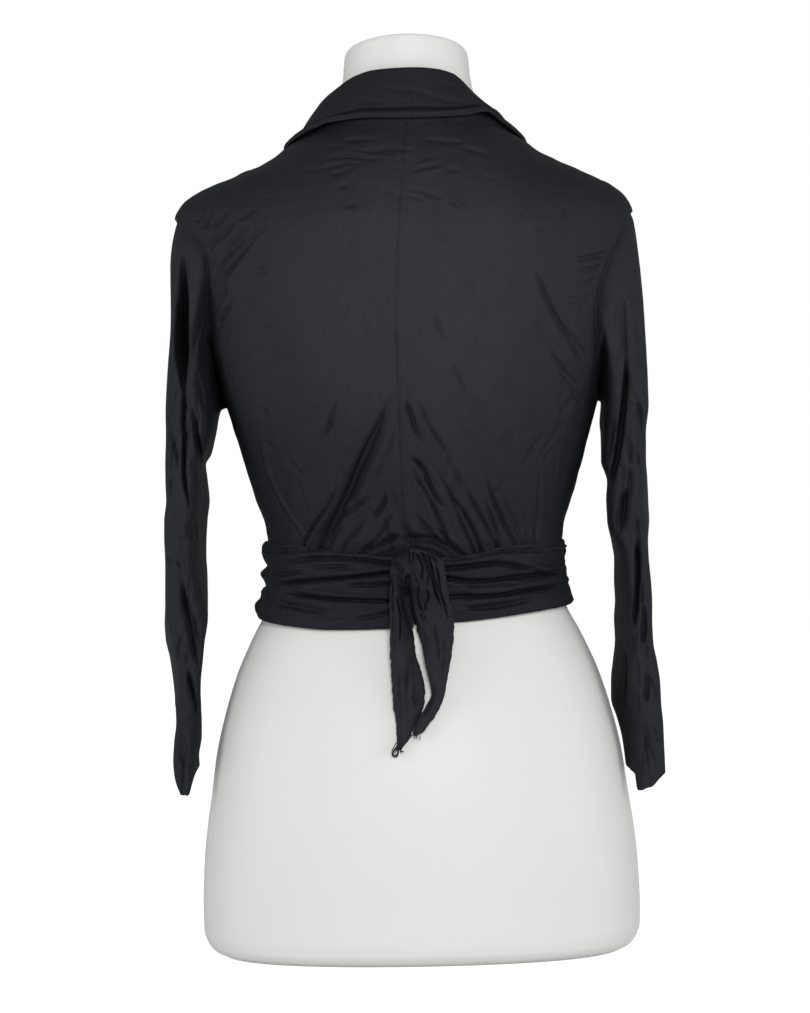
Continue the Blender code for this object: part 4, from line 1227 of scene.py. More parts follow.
collarCreases = (
    # depth, half width, lean, fade in, fade out, places (x, height), all in mm
    (1.3, 2.2, 0.6, 0.3, 0.2, (28, 690), (4, 688), (-22, 682), (-38, 678), (-54, 676)),
    (-2.4, 3.2, 0.0, 0.3, 0.3, (-54, 667), (-66, 671), (-76, 670)),
    (0.7, 2.4, 0.0, 0.3, 0.4, (44, 684), (30, 678), (12, 677)),
    (0.7, 2.0, 0.0, 0.4, 0.3, (-22, 694), (-38, 690), (-50, 684)),
    (0.8, 2.4, 0.2, 0.3, 0.3, (54, 676), (66, 667), (76, 656)),
    (0.9, 2.2, 0.3, 0.3, 0.3, (-57, 668), (-70, 662), (-82, 652)),
)


def makeCollar(name):
    side = sides[name]
    over = name == "right"
    seamTop = backGrid(side)[2][0]
    fine = frontGrid(side, over, np.linspace(1, frontRows, 400), 2)[2][:, 0]
    rows = np.concatenate([seamTop, fine])
    far = runLength(rows)
    below = np.nonzero((rows[:, 2] < collar["ends"][name]) & (far > 0.1))[0][0]
    length = far[below]
    at = np.linspace(0, length, collar["rows"])
    seam = np.stack([np.interp(at, far, rows[:, k]) for k in range(3)], axis=-1)
    seam = softened(seam, 3)  # rounds off the corner where the back meets the front
    turn = nearTurn(seam)
    lift = frontLift(turn, seam[:, 2], over)
    normal = outward(turn, seam[:, 2])
    along = unit(np.gradient(seam, axis=0))
    down, normal = softened(np.cross(normal, along), 12), softened(normal, 12)
    stand, out, fall, fallOut = (fromTable(collarRows[name], k, at)[:, None] for k in range(1, 5))
    columns = collar["columns"]
    rise = np.linspace(0, 1, columns["stand"])
    arc = np.radians(np.linspace(0, 180, columns["fold"]))[1:-1]
    drop = np.linspace(0, 1, columns["fall"])
    before = len(rise) + len(arc)
    fold, gap, wall = collar["fold"], collar["gap"], cloth["wall"]
    foldAt = stand - fold
    # b runs from the seam down over the cloth, and n outward: up the stand, over the fold and down the fall
    b = [-gap - (foldAt - gap) * rise, -foldAt - fold * np.sin(arc), -foldAt + (foldAt + fall) * drop]
    falls = out + fold + (fallOut - out - fold) * drop
    n = [-wall + (out - fold + wall) * rise, out - fold * np.cos(arc), falls]
    b, n = np.concatenate(b, axis=1), np.concatenate(n, axis=1)
    # its seam allowance lies under the edge of the body's cloth
    for k, place in enumerate(collar["allowance"]):
        b[:, k], n[:, k] = place
    forward = np.zeros_like(b)
    if not over:
        slanted = collar["slant"] * ease(at[-1] - collar["slantReach"], at[-1], at)[:, None]
        forward = slanted * np.maximum(b + foldAt, 0)
    points = seam[:, None] + b[..., None] * down[:, None] + n[..., None] * normal[:, None]
    points = points + forward[..., None] * along[:, None]
    onForm = settle(points, lift[:, None] + n)
    weight = ease(-0.004, 0.008, b)[..., None]
    points = points * (1 - weight) + onForm * weight
    centre = side["mirror"] * collar["seamX"] + cloth["seamGap"] / 2
    points[..., 0] += (centre - points[:1, :, 0]) * ease(collar["straightReach"], 0, at)[:, None]
    # the face that falls over, its rolled edge and its creases
    face = np.gradient(points, axis=1)
    long = np.gradient(points, axis=0)
    across = np.cross(long, face)
    across /= np.linalg.norm(across, axis=-1, keepdims=True) + 1e-9
    across = across * np.sign((across[:, -20:] * normal[:, None]).sum(axis=(1, 2)))[:, None, None]
    placed = setSide(points, side)
    a, z = placed[..., 0] / mm, placed[..., 2] / mm
    falling = np.concatenate([np.zeros(before), ease(0, 0.25, drop)])
    size = np.linalg.norm(np.diff(points[:, before:], axis=1), axis=-1).sum(axis=1)[:, None] / mm
    farAway = 99.0
    fromEdge = np.concatenate([np.full((len(at), before), farAway), size * (1 - drop)], axis=1)
    roll = hill(fromEdge, 3.2, 2.5) - 2.3 * hill(fromEdge, 7.6, 1.4) - 0.2 * hill(fromEdge, 12, 5)
    roll = collar["roll"] * roll
    creases = creased(a, z, collarCreases) + crumple(a, z, collar["seeds"][name], collar["crumple"])
    raised = (creases + roll) * falling
    placed = placed + across * [side["mirror"], 1, 1] * (raised * mm)[..., None]
    obj = clothObject("cloth_collar_" + name, placed, side["mirror"] < 0, False, "collar_" + name)


# The ties round the waist

bands = {
    "across": 52,
    "along": {"left": 300, "right": 150},
    # in mm
    "clear": 2.4,  # above the cloth below
    "middleOut": 2.4,  # of the gathers
    "reach": (-6.6, 2.6),  # of the gathers, in and out
    "depth": 2.6,  # times the depths in the tables
    "edgeDrop": 3.0,
    "behindKnot": 3.4,
    "endDrop": {"left": 4.4, "right": 2.2},
    # in degrees round from the centre back
    "layerTurns": (78, 100),  # where the left one climbs over the other
    "endTurns": {"left": (248, 262), "right": (84, 97)},
    "length": {"left": 0.49, "right": 0.17},  # metres
}
bandRows = {
    "left": (
        # turn in degrees, lower edge, upper edge
        (1.1, 0.2625, 0.3172),
        (30, 0.2615, 0.3244),
        (50, 0.2637, 0.3298),
        (75, 0.268, 0.3325),
        (90, 0.2715, 0.333),
        (120, 0.27, 0.334),
        (180, 0.267, 0.3345),
        (240, 0.2715, 0.3325),
        (268, 0.2765, 0.3305),
    ),
    "right": (
        (-1, 0.2655, 0.3177),
        (16, 0.2667, 0.319),
        (30, 0.269, 0.324),
        (50, 0.2724, 0.3299),
        (75, 0.2755, 0.3312),
        (97, 0.2772, 0.33),
    ),
}
bandCreases = {
    # depth, half width, lean, fade in, fade out, places (x, height), all in mm
    "left": (
        (1.8, 2.6, 0.4, 0.3, 0.0, (113, 314), (73, 320), (40, 318), (12, 314)),
        (2.8, 3.0, 0.6, 0.2, 0.0, (116, 298), (91, 302), (54, 305), (14, 309)),
        (3.2, 3.0, 0.4, 0.2, 0.0, (104, 293), (83, 290), (55, 287), (14, 285)),
        (1.3, 2.6, 0.0, 0.3, 0.4, (112, 284), (88, 279), (60, 276)),
        (1.4, 2.2, -0.3, 0.4, 0.0, (60, 297), (36, 297), (14, 297)),
        (1.2, 2.0, 0.0, 0.4, 0.0, (56, 270), (34, 273), (14, 277)),
        (1.0, 2.2, 0.0, 0.3, 0.3, (118, 324), (96, 326), (70, 326)),
        (1.0, 1.8, 0.3, 0.3, 0.3, (84, 312), (64, 313), (44, 311)),
        (1.2, 1.8, -0.3, 0.4, 0.3, (120, 306), (104, 306), (84, 309)),
    ),
    "right": (
        (1.8, 2.4, 0.3, 0.0, 0.3, (-16, 311), (-24, 310), (-60, 313), (-85, 309), (-119, 299)),
        (3.6, 3.8, 0.5, 0.0, 0.1, (-14, 305), (-24, 303), (-46, 300), (-85, 303), (-116, 305)),
        (3.2, 3.4, 0.4, 0.0, 0.2, (-16, 287), (-28, 288), (-59, 288), (-90, 292), (-118, 294)),
        (1.3, 2.4, 0.0, 0.3, 0.3, (-30, 277), (-62, 279), (-96, 284)),
        (1.2, 2.2, -0.3, 0.3, 0.3, (-50, 320), (-80, 322), (-112, 320)),
        (1.3, 1.8, 0.3, 0.3, 0.3, (-30, 296), (-60, 295), (-84, 297)),
        (1.0, 1.6, 0.0, 0.2, 0.4, (-18, 316), (-34, 317), (-52, 318)),
        (-1.6, 2.2, 0.0, 0.3, 0.1, (-104, 322), (-114, 325), (-121, 324)),
    ),
}
bandFolds = (
    # depth, half width, lean, fade in, fade out, places (turn in degrees, share of the width in %)
    (1.9, 7.0, 0.4, 0.1, 0.2, (70, 72), (100, 66), (130, 72), (165, 78)),
    (2.3, 7.0, 0.4, 0.1, 0.1, (64, 40), (100, 38), (150, 50), (200, 46), (244, 56), (264, 60)),
    (1.7, 7.0, 0.2, 0.1, 0.2, (76, 20), (120, 24), (176, 16), (220, 26), (264, 34)),
    (1.5, 6.0, 0.2, 0.2, 0.2, (150, 90), (190, 80), (230, 78), (264, 84)),
    (1.2, 5.0, 0.0, 0.3, 0.3, (110, 52), (140, 60), (172, 64)),
    (1.1, 5.0, 0.0, 0.3, 0.3, (196, 62), (226, 68), (250, 72)),
)


def makeBand(name):
    side = sides[name]
    rows = bandRows[name]
    turns = np.linspace(rows[0][0], rows[-1][0], bands["along"][name])
    low, high = (fromTable(rows, k, turns)[:, None] for k in (1, 2))
    across = np.linspace(0, 1, bands["across"])
    height = low + (high - low) * across
    turn = np.radians(turns)[:, None] * np.ones_like(height)
    lift = firstLift(turn) + bands["clear"] * mm
    if name == "left":
        lift = lift + cloth["layer"] * ease(*bands["layerTurns"], turns)[:, None]
    points = overForm(turn, height, lift)
    normal = outward(turn, height) * [side["mirror"], 1, 1]
    placed = setSide(points, side)
    a, b = placed[..., 0] / mm, placed[..., 2] / mm
    behind = ease(-0.05, 0.25, np.cos(turn))
    degrees = turns[:, None] * np.ones_like(height)
    percent = 100 * across * np.ones_like(height)
    rows = [(1.1 * depth, 0.6 * width, *rest) for depth, width, *rest in bandCreases[name]]
    out, moveA, moveB = (c * behind for c in folded(a, b, rows, 1.2, 3.0))
    placed[..., 0] += moveA * mm
    placed[..., 2] += moveB * mm
    away = degrees if name == "left" else degrees + 170
    out = out + creased(away, percent, bandFolds) * (1 - behind)
    length = runLength(placed[:, 20])[:, None] / mm
    out = out + 0.5 * noise(length / 30 + 0 * percent, percent / 9, 121)
    out = out + 0.22 * noise(length / 9 + 0 * percent, percent / 5, 122)
    rounded = np.sqrt(np.clip(1 - (2 * across - 1) ** 6, 0, 1))
    out = bands["depth"] * out * (0.72 + 0.28 * behind) * (1 + 0.5 * hill(degrees, 0, 28))
    out = bands["middleOut"] + np.clip(out, *bands["reach"]) - bands["edgeDrop"] * (1 - rounded)
    # the two meet in a hollow behind the knot, and one end lies under the other at the right side
    out = out - bands["behindKnot"] * hill(degrees, 0, 4.5)
    if name == "left":  # its lowest fold stays close at the side
        out = np.minimum(out, 5 - 3.2 * hill(degrees, 84, 24) * ease(0.5, 0.2, across))
    out = out - bands["endDrop"][name] * ease(*bands["endTurns"][name], degrees)
    placed = placed + normal * (out * mm)[..., None]
    obj = clothObject("cloth_tie_band_" + name, placed, side["mirror"] > 0, False, "tie_band_" + name)
    length = bands["length"][name]


# The knot and its two raw ends

knot = {
    "centre": (-0.001, 0.1001, 0.308),
    "half": (0.022, 0.0125, 0.0172),
    "around": 130,
    "rings": 84,
    "reach": (-9, 2),  # mm of its folds, in and out
}
knotCreases = (
    # depth, half width, lean, fade in, fade out, places (x, height), all in mm
    (4.5, 3.0, 0.4, 0.2, 0.2, (24, 320), (17, 317), (12, 312), (9, 305)),
    (2.4, 1.5, 0.3, 0.3, 0.2, (14, 309), (12, 303), (11, 297)),
    (1.6, 1.0, 0.0, 0.2, 0.2, (15, 305), (14.6, 299), (14.9, 292)),
    (1.6, 1.0, 0.0, 0.2, 0.2, (12.4, 305), (12.4, 299), (13.4, 292)),
    (1.4, 0.9, 0.0, 0.2, 0.2, (10.2, 305), (10.6, 299), (12, 293)),
    (7.0, 2.4, 0.0, 0.2, 0.0, (6, 307), (6.6, 300), (7, 292)),
    (3.0, 1.6, 0.2, 0.2, 0.3, (3.6, 325), (3.2, 318), (4, 311)),
)
tails = {
    "across": 76,
    "rows": 140,
    "depth": 1.7,
    "seeds": {"left": 141, "right": 151},
    "flat": {"left": (0.055, 0.13), "right": (0.06, 0.15)},
    "gap": 2.2,  # creases deeper than this have steep walls
    # in mm
    "turnIn": {"left": 4.2, "right": 1.8},  # over how much of the width the inner edge turns in
    "turnDepth": 9,
    "lowerTurn": 3.4,  # how far the left one's inner edge turns in lower down
    "edgeBend": (1.2, 3.2),  # how far the sides bend away, gently and near the edges
    "fanDrop": 6.5,
    "ragged": 0.35,
    "frayed": 0.8,
}
tailEdges = {
    # height, left edge, right edge, how far out, all in mm
    "left": (
        (306.5, 17.0, 8.5, 109.5),
        (302.0, 18.6, 8.0, 111.2),
        (296.0, 20.2, 9.2, 111.6),
        (288.0, 21.1, 9.6, 110.8),
        (276.0, 21.2, 7.8, 109.6),
        (266.0, 21.2, 5.0, 108.6),
        (258.0, 21.2, 2.8, 108.0),
        (246.0, 21.3, 1.7, 108.2),
        (236.0, 21.1, -0.8, 109.4),
        (225.0, 20.6, -3.9, 110.2),
        (214.0, 20.1, -5.4, 111.2),
        (208.0, 19.8, -5.2, 111.8),
        (202.0, 19.3, -3.8, 112.4),
        (191.0, 17.7, 1.2, 113.4),
        (184.0, 17.3, 4.6, 114.0),
        (177.0, 17.4, 8.2, 114.5),
        (173.0, 17.5, 12.4, 114.8),
        (170.5, 17.9, 13.6, 115.0),
    ),
    "right": (
        (326.8, 2.6, -2.0, 106.5),
        (326.2, 4.2, -8.0, 109.0),
        (324.0, 4.6, -14.6, 111.8),
        (320.0, 4.2, -19.2, 113.6),
        (314.0, 4.0, -21.4, 114.6),
        (306.0, 4.6, -22.6, 115.0),
        (297.0, 5.4, -23.6, 114.6),
        (286.0, 5.0, -25.6, 112.8),
        (278.0, 4.0, -27.4, 111.4),
        (270.0, 1.8, -28.6, 110.2),
        (260.0, -0.2, -28.6, 109.4),
        (250.0, -3.4, -27.4, 109.2),
        (240.0, -5.0, -25.8, 109.4),
        (232.0, -6.4, -24.3, 109.8),
        (222.0, -8.4, -22.6, 110.4),
        (213.0, -10.1, -20.9, 111.2),
        (206.0, -7.4, -18.4, 111.9),
        (199.0, -2.8, -15.0, 112.6),
        (193.0, 0.8, -11.2, 113.4),
        (188.0, 3.2, -7.2, 114.2),
        (184.0, 4.6, -3.6, 114.8),
        (181.5, 4.9, 0.6, 115.2),
    ),
}
tailCreases = {
    "left": (
        (2.6, 1.7, 0.4, 0.2, 0.3, (14.8, 292), (14.2, 282), (12.8, 274), (13, 262), (14.5, 250)),
        (1.5, 0.9, 0.0, 0.0, 0.2, (17.6, 307), (17.8, 299), (18.6, 288), (18.2, 274)),
        (1.6, 0.9, 0.0, 0.0, 0.2, (14.6, 307), (14.2, 300), (15, 292)),
        (1.6, 0.9, 0.0, 0.0, 0.2, (12.2, 307), (12.2, 300), (13.4, 293)),
        (1.4, 0.9, 0.0, 0.0, 0.2, (10.2, 306), (10.6, 299), (12, 292)),
        (1.4, 1.5, 0.0, 0.3, 0.3, (18.6, 282), (18.2, 262), (18.4, 240)),
        (2.2, 2.4, 0.5, 0.3, 0.3, (10, 276), (8.8, 262), (7.4, 248), (8, 230), (10.6, 206)),
        (2.0, 2.0, -0.3, 0.3, 0.2, (5.6, 256), (4.6, 236), (3, 218), (4.4, 198)),
        (1.2, 2.0, 0.3, 0.3, 0.3, (15.6, 230), (14.6, 206), (14.6, 190)),
        (0.9, 1.6, 0.0, 0.3, 0.3, (0.6, 232), (0, 218), (3, 202)),
        (0.7, 1.2, 0.0, 0.3, 0.3, (12, 216), (9, 206), (9.6, 194)),
        (0.6, 1.1, 0.0, 0.3, 0.3, (18, 232), (15, 226), (14, 216)),
    ),
    "right": (
        (4.6, 1.5, 0.6, 0.1, 0.3, (1.8, 324), (1.4, 318), (1.8, 308), (-0.4, 302), (-1.6, 297)),
        (3.2, 1.4, 0.5, 0.1, 0.3, (0, 323), (-3.4, 317), (-5.6, 310), (-4.2, 303), (-6.6, 299)),
        (2.8, 1.3, 0.4, 0.2, 0.3, (-4.4, 323), (-7.6, 313), (-9.6, 306), (-8.3, 294)),
        (
            4.2, 1.5, 0.5, 0.1, 0.25,
            (-4.2, 324), (-7.4, 318), (-10.4, 309), (-13.4, 298), (-16, 289), (-20, 278),
        ),
        (3.4, 1.4, 0.4, 0.1, 0.3, (-9.2, 321), (-12.2, 311), (-13.4, 305), (-16.2, 296), (-19, 286)),
        (2.4, 1.3, 0.3, 0.2, 0.3, (-14.4, 317), (-17.2, 305), (-18.2, 294), (-22, 280), (-25, 266)),
        (-1.4, 1.5, 0.0, 0.2, 0.3, (3.4, 325), (-3.7, 325), (-11, 322), (-17, 317)),
        (1.8, 1.0, 0.0, 0.2, 0.2, (0, 322), (-6, 321.4), (-12, 319), (-18, 313)),
        (3.0, 1.5, 0.5, 0.2, 0.3, (-2.6, 299), (-1.4, 290), (-2.4, 283), (-6.2, 274)),
        (2.4, 1.4, -0.3, 0.2, 0.3, (-7.6, 296), (-9, 288), (-6.4, 281), (-7.6, 275)),
        (1.6, 1.6, 0.3, 0.3, 0.4, (2.6, 300), (2, 288), (-1, 274)),
        (1.6, 1.5, 0.3, 0.2, 0.3, (-3.0, 276), (-5.4, 271), (-8.8, 271)),
        (1.2, 1.6, 0.0, 0.3, 0.3, (-3.6, 266), (-6, 252), (-9, 242)),
        (1.4, 1.8, 0.3, 0.3, 0.2, (-13, 270), (-15.4, 252), (-17, 236)),
        (1.2, 1.8, 0.0, 0.3, 0.3, (-21, 258), (-20, 240), (-18, 222)),
        (1.8, 1.6, 0.3, 0.3, 0.1, (-13, 222), (-10.8, 208), (-4.4, 196)),
        (0.9, 1.2, 0.0, 0.3, 0.3, (-5.6, 252), (-9, 254), (-12, 252)),
        (0.7, 1.2, 0.0, 0.3, 0.3, (-12, 262), (-11, 250), (-13, 240)),
    ),
}
threads = {
    # half thickness, then the places (x, y, height) that a thread goes through, in mm
    "left": (
        (
            0.8,
            (17.0, 115.3, 173), (19.6, 116.4, 170), (21.4, 116.8, 167.2), (19.2, 116.4, 164.6),
            (17.2, 116.0, 166.8),
        ),
        (0.75, (16.2, 115.2, 174), (16.4, 116.2, 170), (16.8, 116.6, 166.4), (18.2, 116.4, 164.9)),
        (0.45, (15.0, 115.2, 174), (14.4, 116.0, 170.2), (13.4, 116.2, 168.4), (12.0, 116.0, 168.9)),
        (0.4, (14.6, 115.0, 174), (14.9, 115.8, 169.4), (14.2, 116.0, 167.6)),
        (0.34, (17.8, 115.0, 176), (20.0, 116.0, 172.0), (21.6, 116.4, 169.4)),
        (0.34, (16.4, 115.2, 172), (18.0, 116.4, 169.2), (19.8, 116.6, 166.6), (20.4, 116.4, 165.0)),
    ),
    "right": (
        (0.42, (3.0, 115.4, 184), (4.8, 115.8, 181.8), (6.2, 116.0, 180.6)),
        (0.36, (2.0, 115.4, 183), (2.4, 116.0, 180.4), (1.4, 116.2, 178.4)),
        (0.32, (0.6, 115.4, 183), (0.0, 116.0, 180.8), (-0.9, 116.2, 179.4), (-0.4, 116.2, 177.6)),
        (0.3, (3.6, 115.2, 183), (3.0, 116.0, 180.0), (3.8, 116.2, 178.6)),
    ),
}


def makeKnot():
    # a lump with the folds of the turn of the tie in it
    steps = np.linspace(0, 2 * math.pi, knot["around"], endpoint=False)[None]
    tilts = np.linspace(0.02, math.pi - 0.02, knot["rings"])[:, None]
    x = np.sin(tilts) * np.cos(steps)
    y = np.sin(tilts) * np.sin(steps)
    z = np.cos(tilts) + 0 * steps
    points = np.stack([x, y, z], axis=-1) * knot["half"] + knot["centre"]
    a, b = points[..., 0] / mm, points[..., 2] / mm
    facing = ease(-0.1, 0.4, y)
    out, moveA, moveB = (c * facing for c in folded(a, b, knotCreases, 0.9, 2.2))
    out = out + (0.5 * noise(a / 6, b / 9, 131) + 0.2 * noise(a / 2.5, b / 6, 132)) * facing
    points += np.stack([moveA, np.clip(out, *knot["reach"]), moveB], axis=-1) * mm
    obj = clothObject("cloth_knot", points[::-1], True, True, "knot")


def makeThread(name, half, *places):
    curve = bpy.data.curves.new(name, "CURVE")
    curve.dimensions = "3D"
    curve.bevel_depth = half * mm
    curve.bevel_resolution = 1
    curve.use_fill_caps = True
    spline = curve.splines.new("NURBS")
    spline.points.add(len(places) - 1)
    for point, place in zip(spline.points, places):
        point.co = (*[c * mm for c in place], 1)
    spline.order_u = 3
    spline.use_endpoint_u = True
    thread = addObject(name, curve)
    curve.materials.append(materials["black_cloth"])
    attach(thread, "root")
    return thread


def makeTail(name):
    rows = tailEdges[name]
    height = np.linspace(rows[0][0], rows[-1][0], tails["rows"])
    left, right, out = (fromTable(rows[::-1], k, height)[:, None] for k in (1, 2, 3))
    across = np.linspace(0, 1, tails["across"])
    seed = tails["seeds"][name]
    frayed = ease(300, 280, height)[:, None] * tails["ragged"]
    h = height[:, None]
    left = left + frayed * (noise(h / 1.7, 0 * h, seed) + 0.8 * noise(h / 4.5, 0 * h, seed + 1))
    right = right - frayed * (noise(h / 1.9, 0 * h + 3, seed + 2) + 0.8 * noise(h / 5.0, 0 * h, seed + 3))
    x = left + (right - left) * across
    z = h + 0 * x
    if name == "right":  # the top of the fan follows the turn of the knot
        z = z - tails["fanDrop"] * ease(316, 327, z) * (across - 0.18) ** 2 / 0.67 * ease(0.1, 1, across)
    # the raw end is cut on a slant and frays
    fray = noise(x / 1.1, 0 * x, seed + 4) + 0.6 * noise(x / 3.0, 0 * x, seed + 5)
    z = z - tails["frayed"] * ease(20, 0, h - height[-1]) * fray
    broad = np.clip((left - right) / 20, 0.3, 1)
    middle = 2 * across - 1
    gentle, sharp = tails["edgeBend"]
    y = out - sharp * middle**4 * broad - gentle * middle**2 * broad
    rows = [
        (depth, 0.62 * width if depth > tails["gap"] else width, *rest)
        for depth, width, *rest in tailCreases[name]
    ]
    pleats, moveA, moveB = folded(x, z, rows, 0.9, tails["gap"])
    folds = tails["depth"] * pleats + 0.35 * noise(x / 5, z / 12, seed + 6)
    folds = folds + 0.16 * noise(x / 1.8, z / 7, seed + 7)
    y = y + folds * ease(327, 322, z)
    # the edges at the gap between the two turn in
    inner = (x - right) if name == "left" else (left - x)
    reach = tails["turnIn"][name]
    inner = np.maximum(inner, 0)
    y = y - tails["turnDepth"] * hill(inner, 0, reach) * ease(240, 262, z) * ease(312, 303, z)
    if name == "left":
        y = y - tails["lowerTurn"] * hill(inner, 0, 4.5) * ease(258, 246, z) * ease(188, 200, z)
    inside = ease(0, 0.12, across) * ease(1, 0.88, across)
    points = np.stack([x + moveA * inside, y, z + moveB * inside], axis=-1) * mm
    # the tail gets the copy of the jersey painted paler, as if better lit
    obj = clothObject("cloth_tail_" + name, points, False, False, "tail_" + name, "painted_lighter_cloth")
    parts = [makeThread(f"thread_{name}_{i}", *thread) for i, thread in enumerate(threads[name])]


# Materials

looks = {
    "cloth": (0.0076, 0.0086, 0.011),
    # a copy of the same jersey painted paler, as if better lit, for the sleeves and tails
    "clothPaintedLighter": (0.0116, 0.0129, 0.0159),
    # the jersey painted paler, as lit, for the painted pool of light on the middle of the back
    "clothPaintedLit": (0.0182, 0.02, 0.0242),
    "clothRoughness": (0.6, 0.74),
    "form": (0.712, 0.718, 0.692),
    "formRoughness": 0.42,
    "formSheen": 0.35,
}
materials = {}


def feed(tree, node, inputs):
    # each input takes a value, or the output that is linked to it
    for name, value in inputs.items():
        if isinstance(value, bpy.types.NodeSocket):
            tree.links.new(value, node.inputs[name])
        else:
            node.inputs[name].default_value = value


def addNode(tree, kind, inputs, **settings):
    node = tree.nodes.new("ShaderNode" + kind)
    for name, value in settings.items():
        setattr(node, name, value)
    feed(tree, node, inputs)
    return node.outputs


def addMath(tree, operation, *values):
    return addNode(tree, "Math", dict(enumerate(values)), operation=operation)["Value"]


def addMapRange(tree, value, inputs, kind="LINEAR"):
    return addNode(tree, "MapRange", {"Value": value, **inputs}, interpolation_type=kind)["Result"]


def newMaterial(name):
    material = bpy.data.materials.new(name)
    material.use_nodes = True
    return material, material.node_tree, material.node_tree.nodes["Principled BSDF"]


def clothFeelAndPaintedLightGroup():
    # the fine crinkle and knit of the jersey, its tone that differs at random, and a painted pool of light:
    # paler colour on the middle of the back where the light falls brightest
    tree = bpy.data.node_groups.new("JerseyFeelAndPaintedLight", "ShaderNodeTree")
    for name, kind in (("Color", "Color"), ("Roughness", "Float"), ("Height", "Float")):
        tree.interface.new_socket(name=name, in_out="OUTPUT", socket_type="NodeSocket" + kind)
    for name, kind, value in (
        ("Dark", "Color", (*looks["cloth"], 1)),
        ("PaintedLit", "Color", (*looks["clothPaintedLit"], 1)),
        ("Crinkle", "Float", 1.0),
    ):
        socket = tree.interface.new_socket(name=name, in_out="INPUT", socket_type="NodeSocket" + kind)
        socket.default_value = value
    start = tree.nodes.new("NodeGroupInput").outputs
    end = tree.nodes.new("NodeGroupOutput")
    place = addNode(tree, "TexCoord", {})["Object"]
    upright = addNode(tree, "Mapping", {"Vector": place, "Scale": (1, 1, 0.6)})["Vector"]
    fine = {"Scale": 130, "Detail": 3, "Roughness": 0.55, "Distortion": 0.35}
    crinkle = addNode(tree, "TexNoise", {"Vector": upright, **fine})["Fac"]
    knit = addNode(tree, "TexNoise", {"Vector": place, "Scale": 1500, "Detail": 1})["Fac"]
    cloud = addNode(tree, "TexNoise", {"Vector": upright, "Scale": 14, "Detail": 3})["Fac"]
    # painted light: the middle of the back, a little above half its height, is painted paler, as a pool of
    # light
    low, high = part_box("back_left")
    litHeight, reach = low.z + 0.64 * (high.z - low.z), 0.15
    fromLitMiddle = addNode(
        tree,
        "Mapping",
        {"Vector": place, "Location": (0, 0, -litHeight / reach), "Scale": (0.85 / high.x, 0, 1 / reach)},
    )["Vector"]
    apartBy = addNode(tree, "VectorMath", {0: fromLitMiddle}, operation="LENGTH")["Value"]
    fading = {"From Min": 1.08, "From Max": 0.25, "To Max": 0.75}
    paintedLight = addMapRange(tree, apartBy, fading, "SMOOTHSTEP")
    tone = addMapRange(tree, cloud, {"From Min": 0.32, "From Max": 0.68, "To Max": 0.25})
    # how far the colour goes towards the painted lit colour: the painted pool of light plus the random tone
    share = addMath(tree, "ADD", paintedLight, tone)
    mix = addNode(tree, "Mix", {"Factor": share, "A": start["Dark"], "B": start["PaintedLit"]}, data_type="RGBA")
    smoothest, roughest = looks["clothRoughness"]
    rough = addMapRange(tree, crinkle, {"To Min": smoothest, "To Max": roughest})
    # crinkles that run in to the knot, and fade away from it
    low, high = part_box("knot")
    knotPlace = ((low.x + high.x) / 2, 0, low.z)
    fromKnot = addNode(tree, "VectorMath", {0: place, 1: knotPlace}, operation="SUBTRACT")["Vector"]
    apart = addNode(tree, "SeparateXYZ", {"Vector": fromKnot})
    angle = addMath(tree, "ARCTAN2", apart["X"], apart["Z"])
    level = addNode(tree, "CombineXYZ", {"X": apart["X"], "Z": apart["Z"]})["Vector"]
    away = addNode(tree, "VectorMath", {0: level}, operation="LENGTH")["Value"]
    polar = addNode(tree, "CombineXYZ", {"X": angle, "Y": away})["Vector"]
    spread = addNode(tree, "Mapping", {"Vector": polar, "Scale": (26, 34, 1)})["Vector"]
    drawn = addNode(tree, "TexNoise", {"Vector": spread, "Scale": 1, "Detail": 2, "Distortion": 0.4})["Fac"]
    near = addMapRange(tree, away, {"From Min": 0.17, "From Max": 0.06}, "SMOOTHSTEP")
    pull = addMath(tree, "MULTIPLY", drawn, near)
    both = addMath(tree, "MULTIPLY_ADD", pull, 0.9, crinkle)
    soft = addMath(tree, "MULTIPLY", both, start["Crinkle"])
    height = addMath(tree, "MULTIPLY_ADD", knit, 0.12, soft)
    feed(tree, end, {"Color": mix["Result"], "Roughness": rough, "Height": height})
    return tree


def makeMaterials():
    feelAndLight = clothFeelAndPaintedLightGroup()
    # the plain jersey and a copy of it painted paler as if better lit; both get the painted pool of light on
    # the middle of the back from the group
    for key, name, dark in (
        ("black_cloth", "black_jersey", "cloth"),
        ("painted_lighter_cloth", "black_jersey_painted_lighter", "clothPaintedLighter"),
    ):
        materials[key], tree, shader = newMaterial(name)
        group = addNode(tree, "Group", {"Dark": (*looks[dark], 1)}, node_tree=feelAndLight)
        bump = addNode(tree, "Bump", {"Strength": 0.9, "Distance": 0.0012, "Height": group["Height"]})
        feed(tree, shader, {"Base Color": group["Color"], "Roughness": group["Roughness"]})
        feed(tree, shader, {"Specular IOR Level": 0.17, "Normal": bump["Normal"]})

    materials["white_form"], tree, shader = newMaterial("white_form")
    place = addNode(tree, "TexCoord", {})["Object"]
    cloud = addNode(tree, "TexNoise", {"Vector": place, "Scale": 9, "Detail": 3})["Fac"]
    paint, duller = (*looks["form"], 1), (*[0.975 * c for c in looks["form"]], 1)
    mix = addNode(tree, "Mix", {"Factor": cloud, "A": paint, "B": duller}, data_type="RGBA")
    feed(tree, shader, {"Base Color": mix["Result"], "Roughness": looks["formRoughness"]})
    feed(tree, shader, {"Specular IOR Level": 0.15})
    feed(tree, shader, {"Sheen Weight": looks["formSheen"], "Sheen Roughness": 0.35})


# Stage, lights and camera

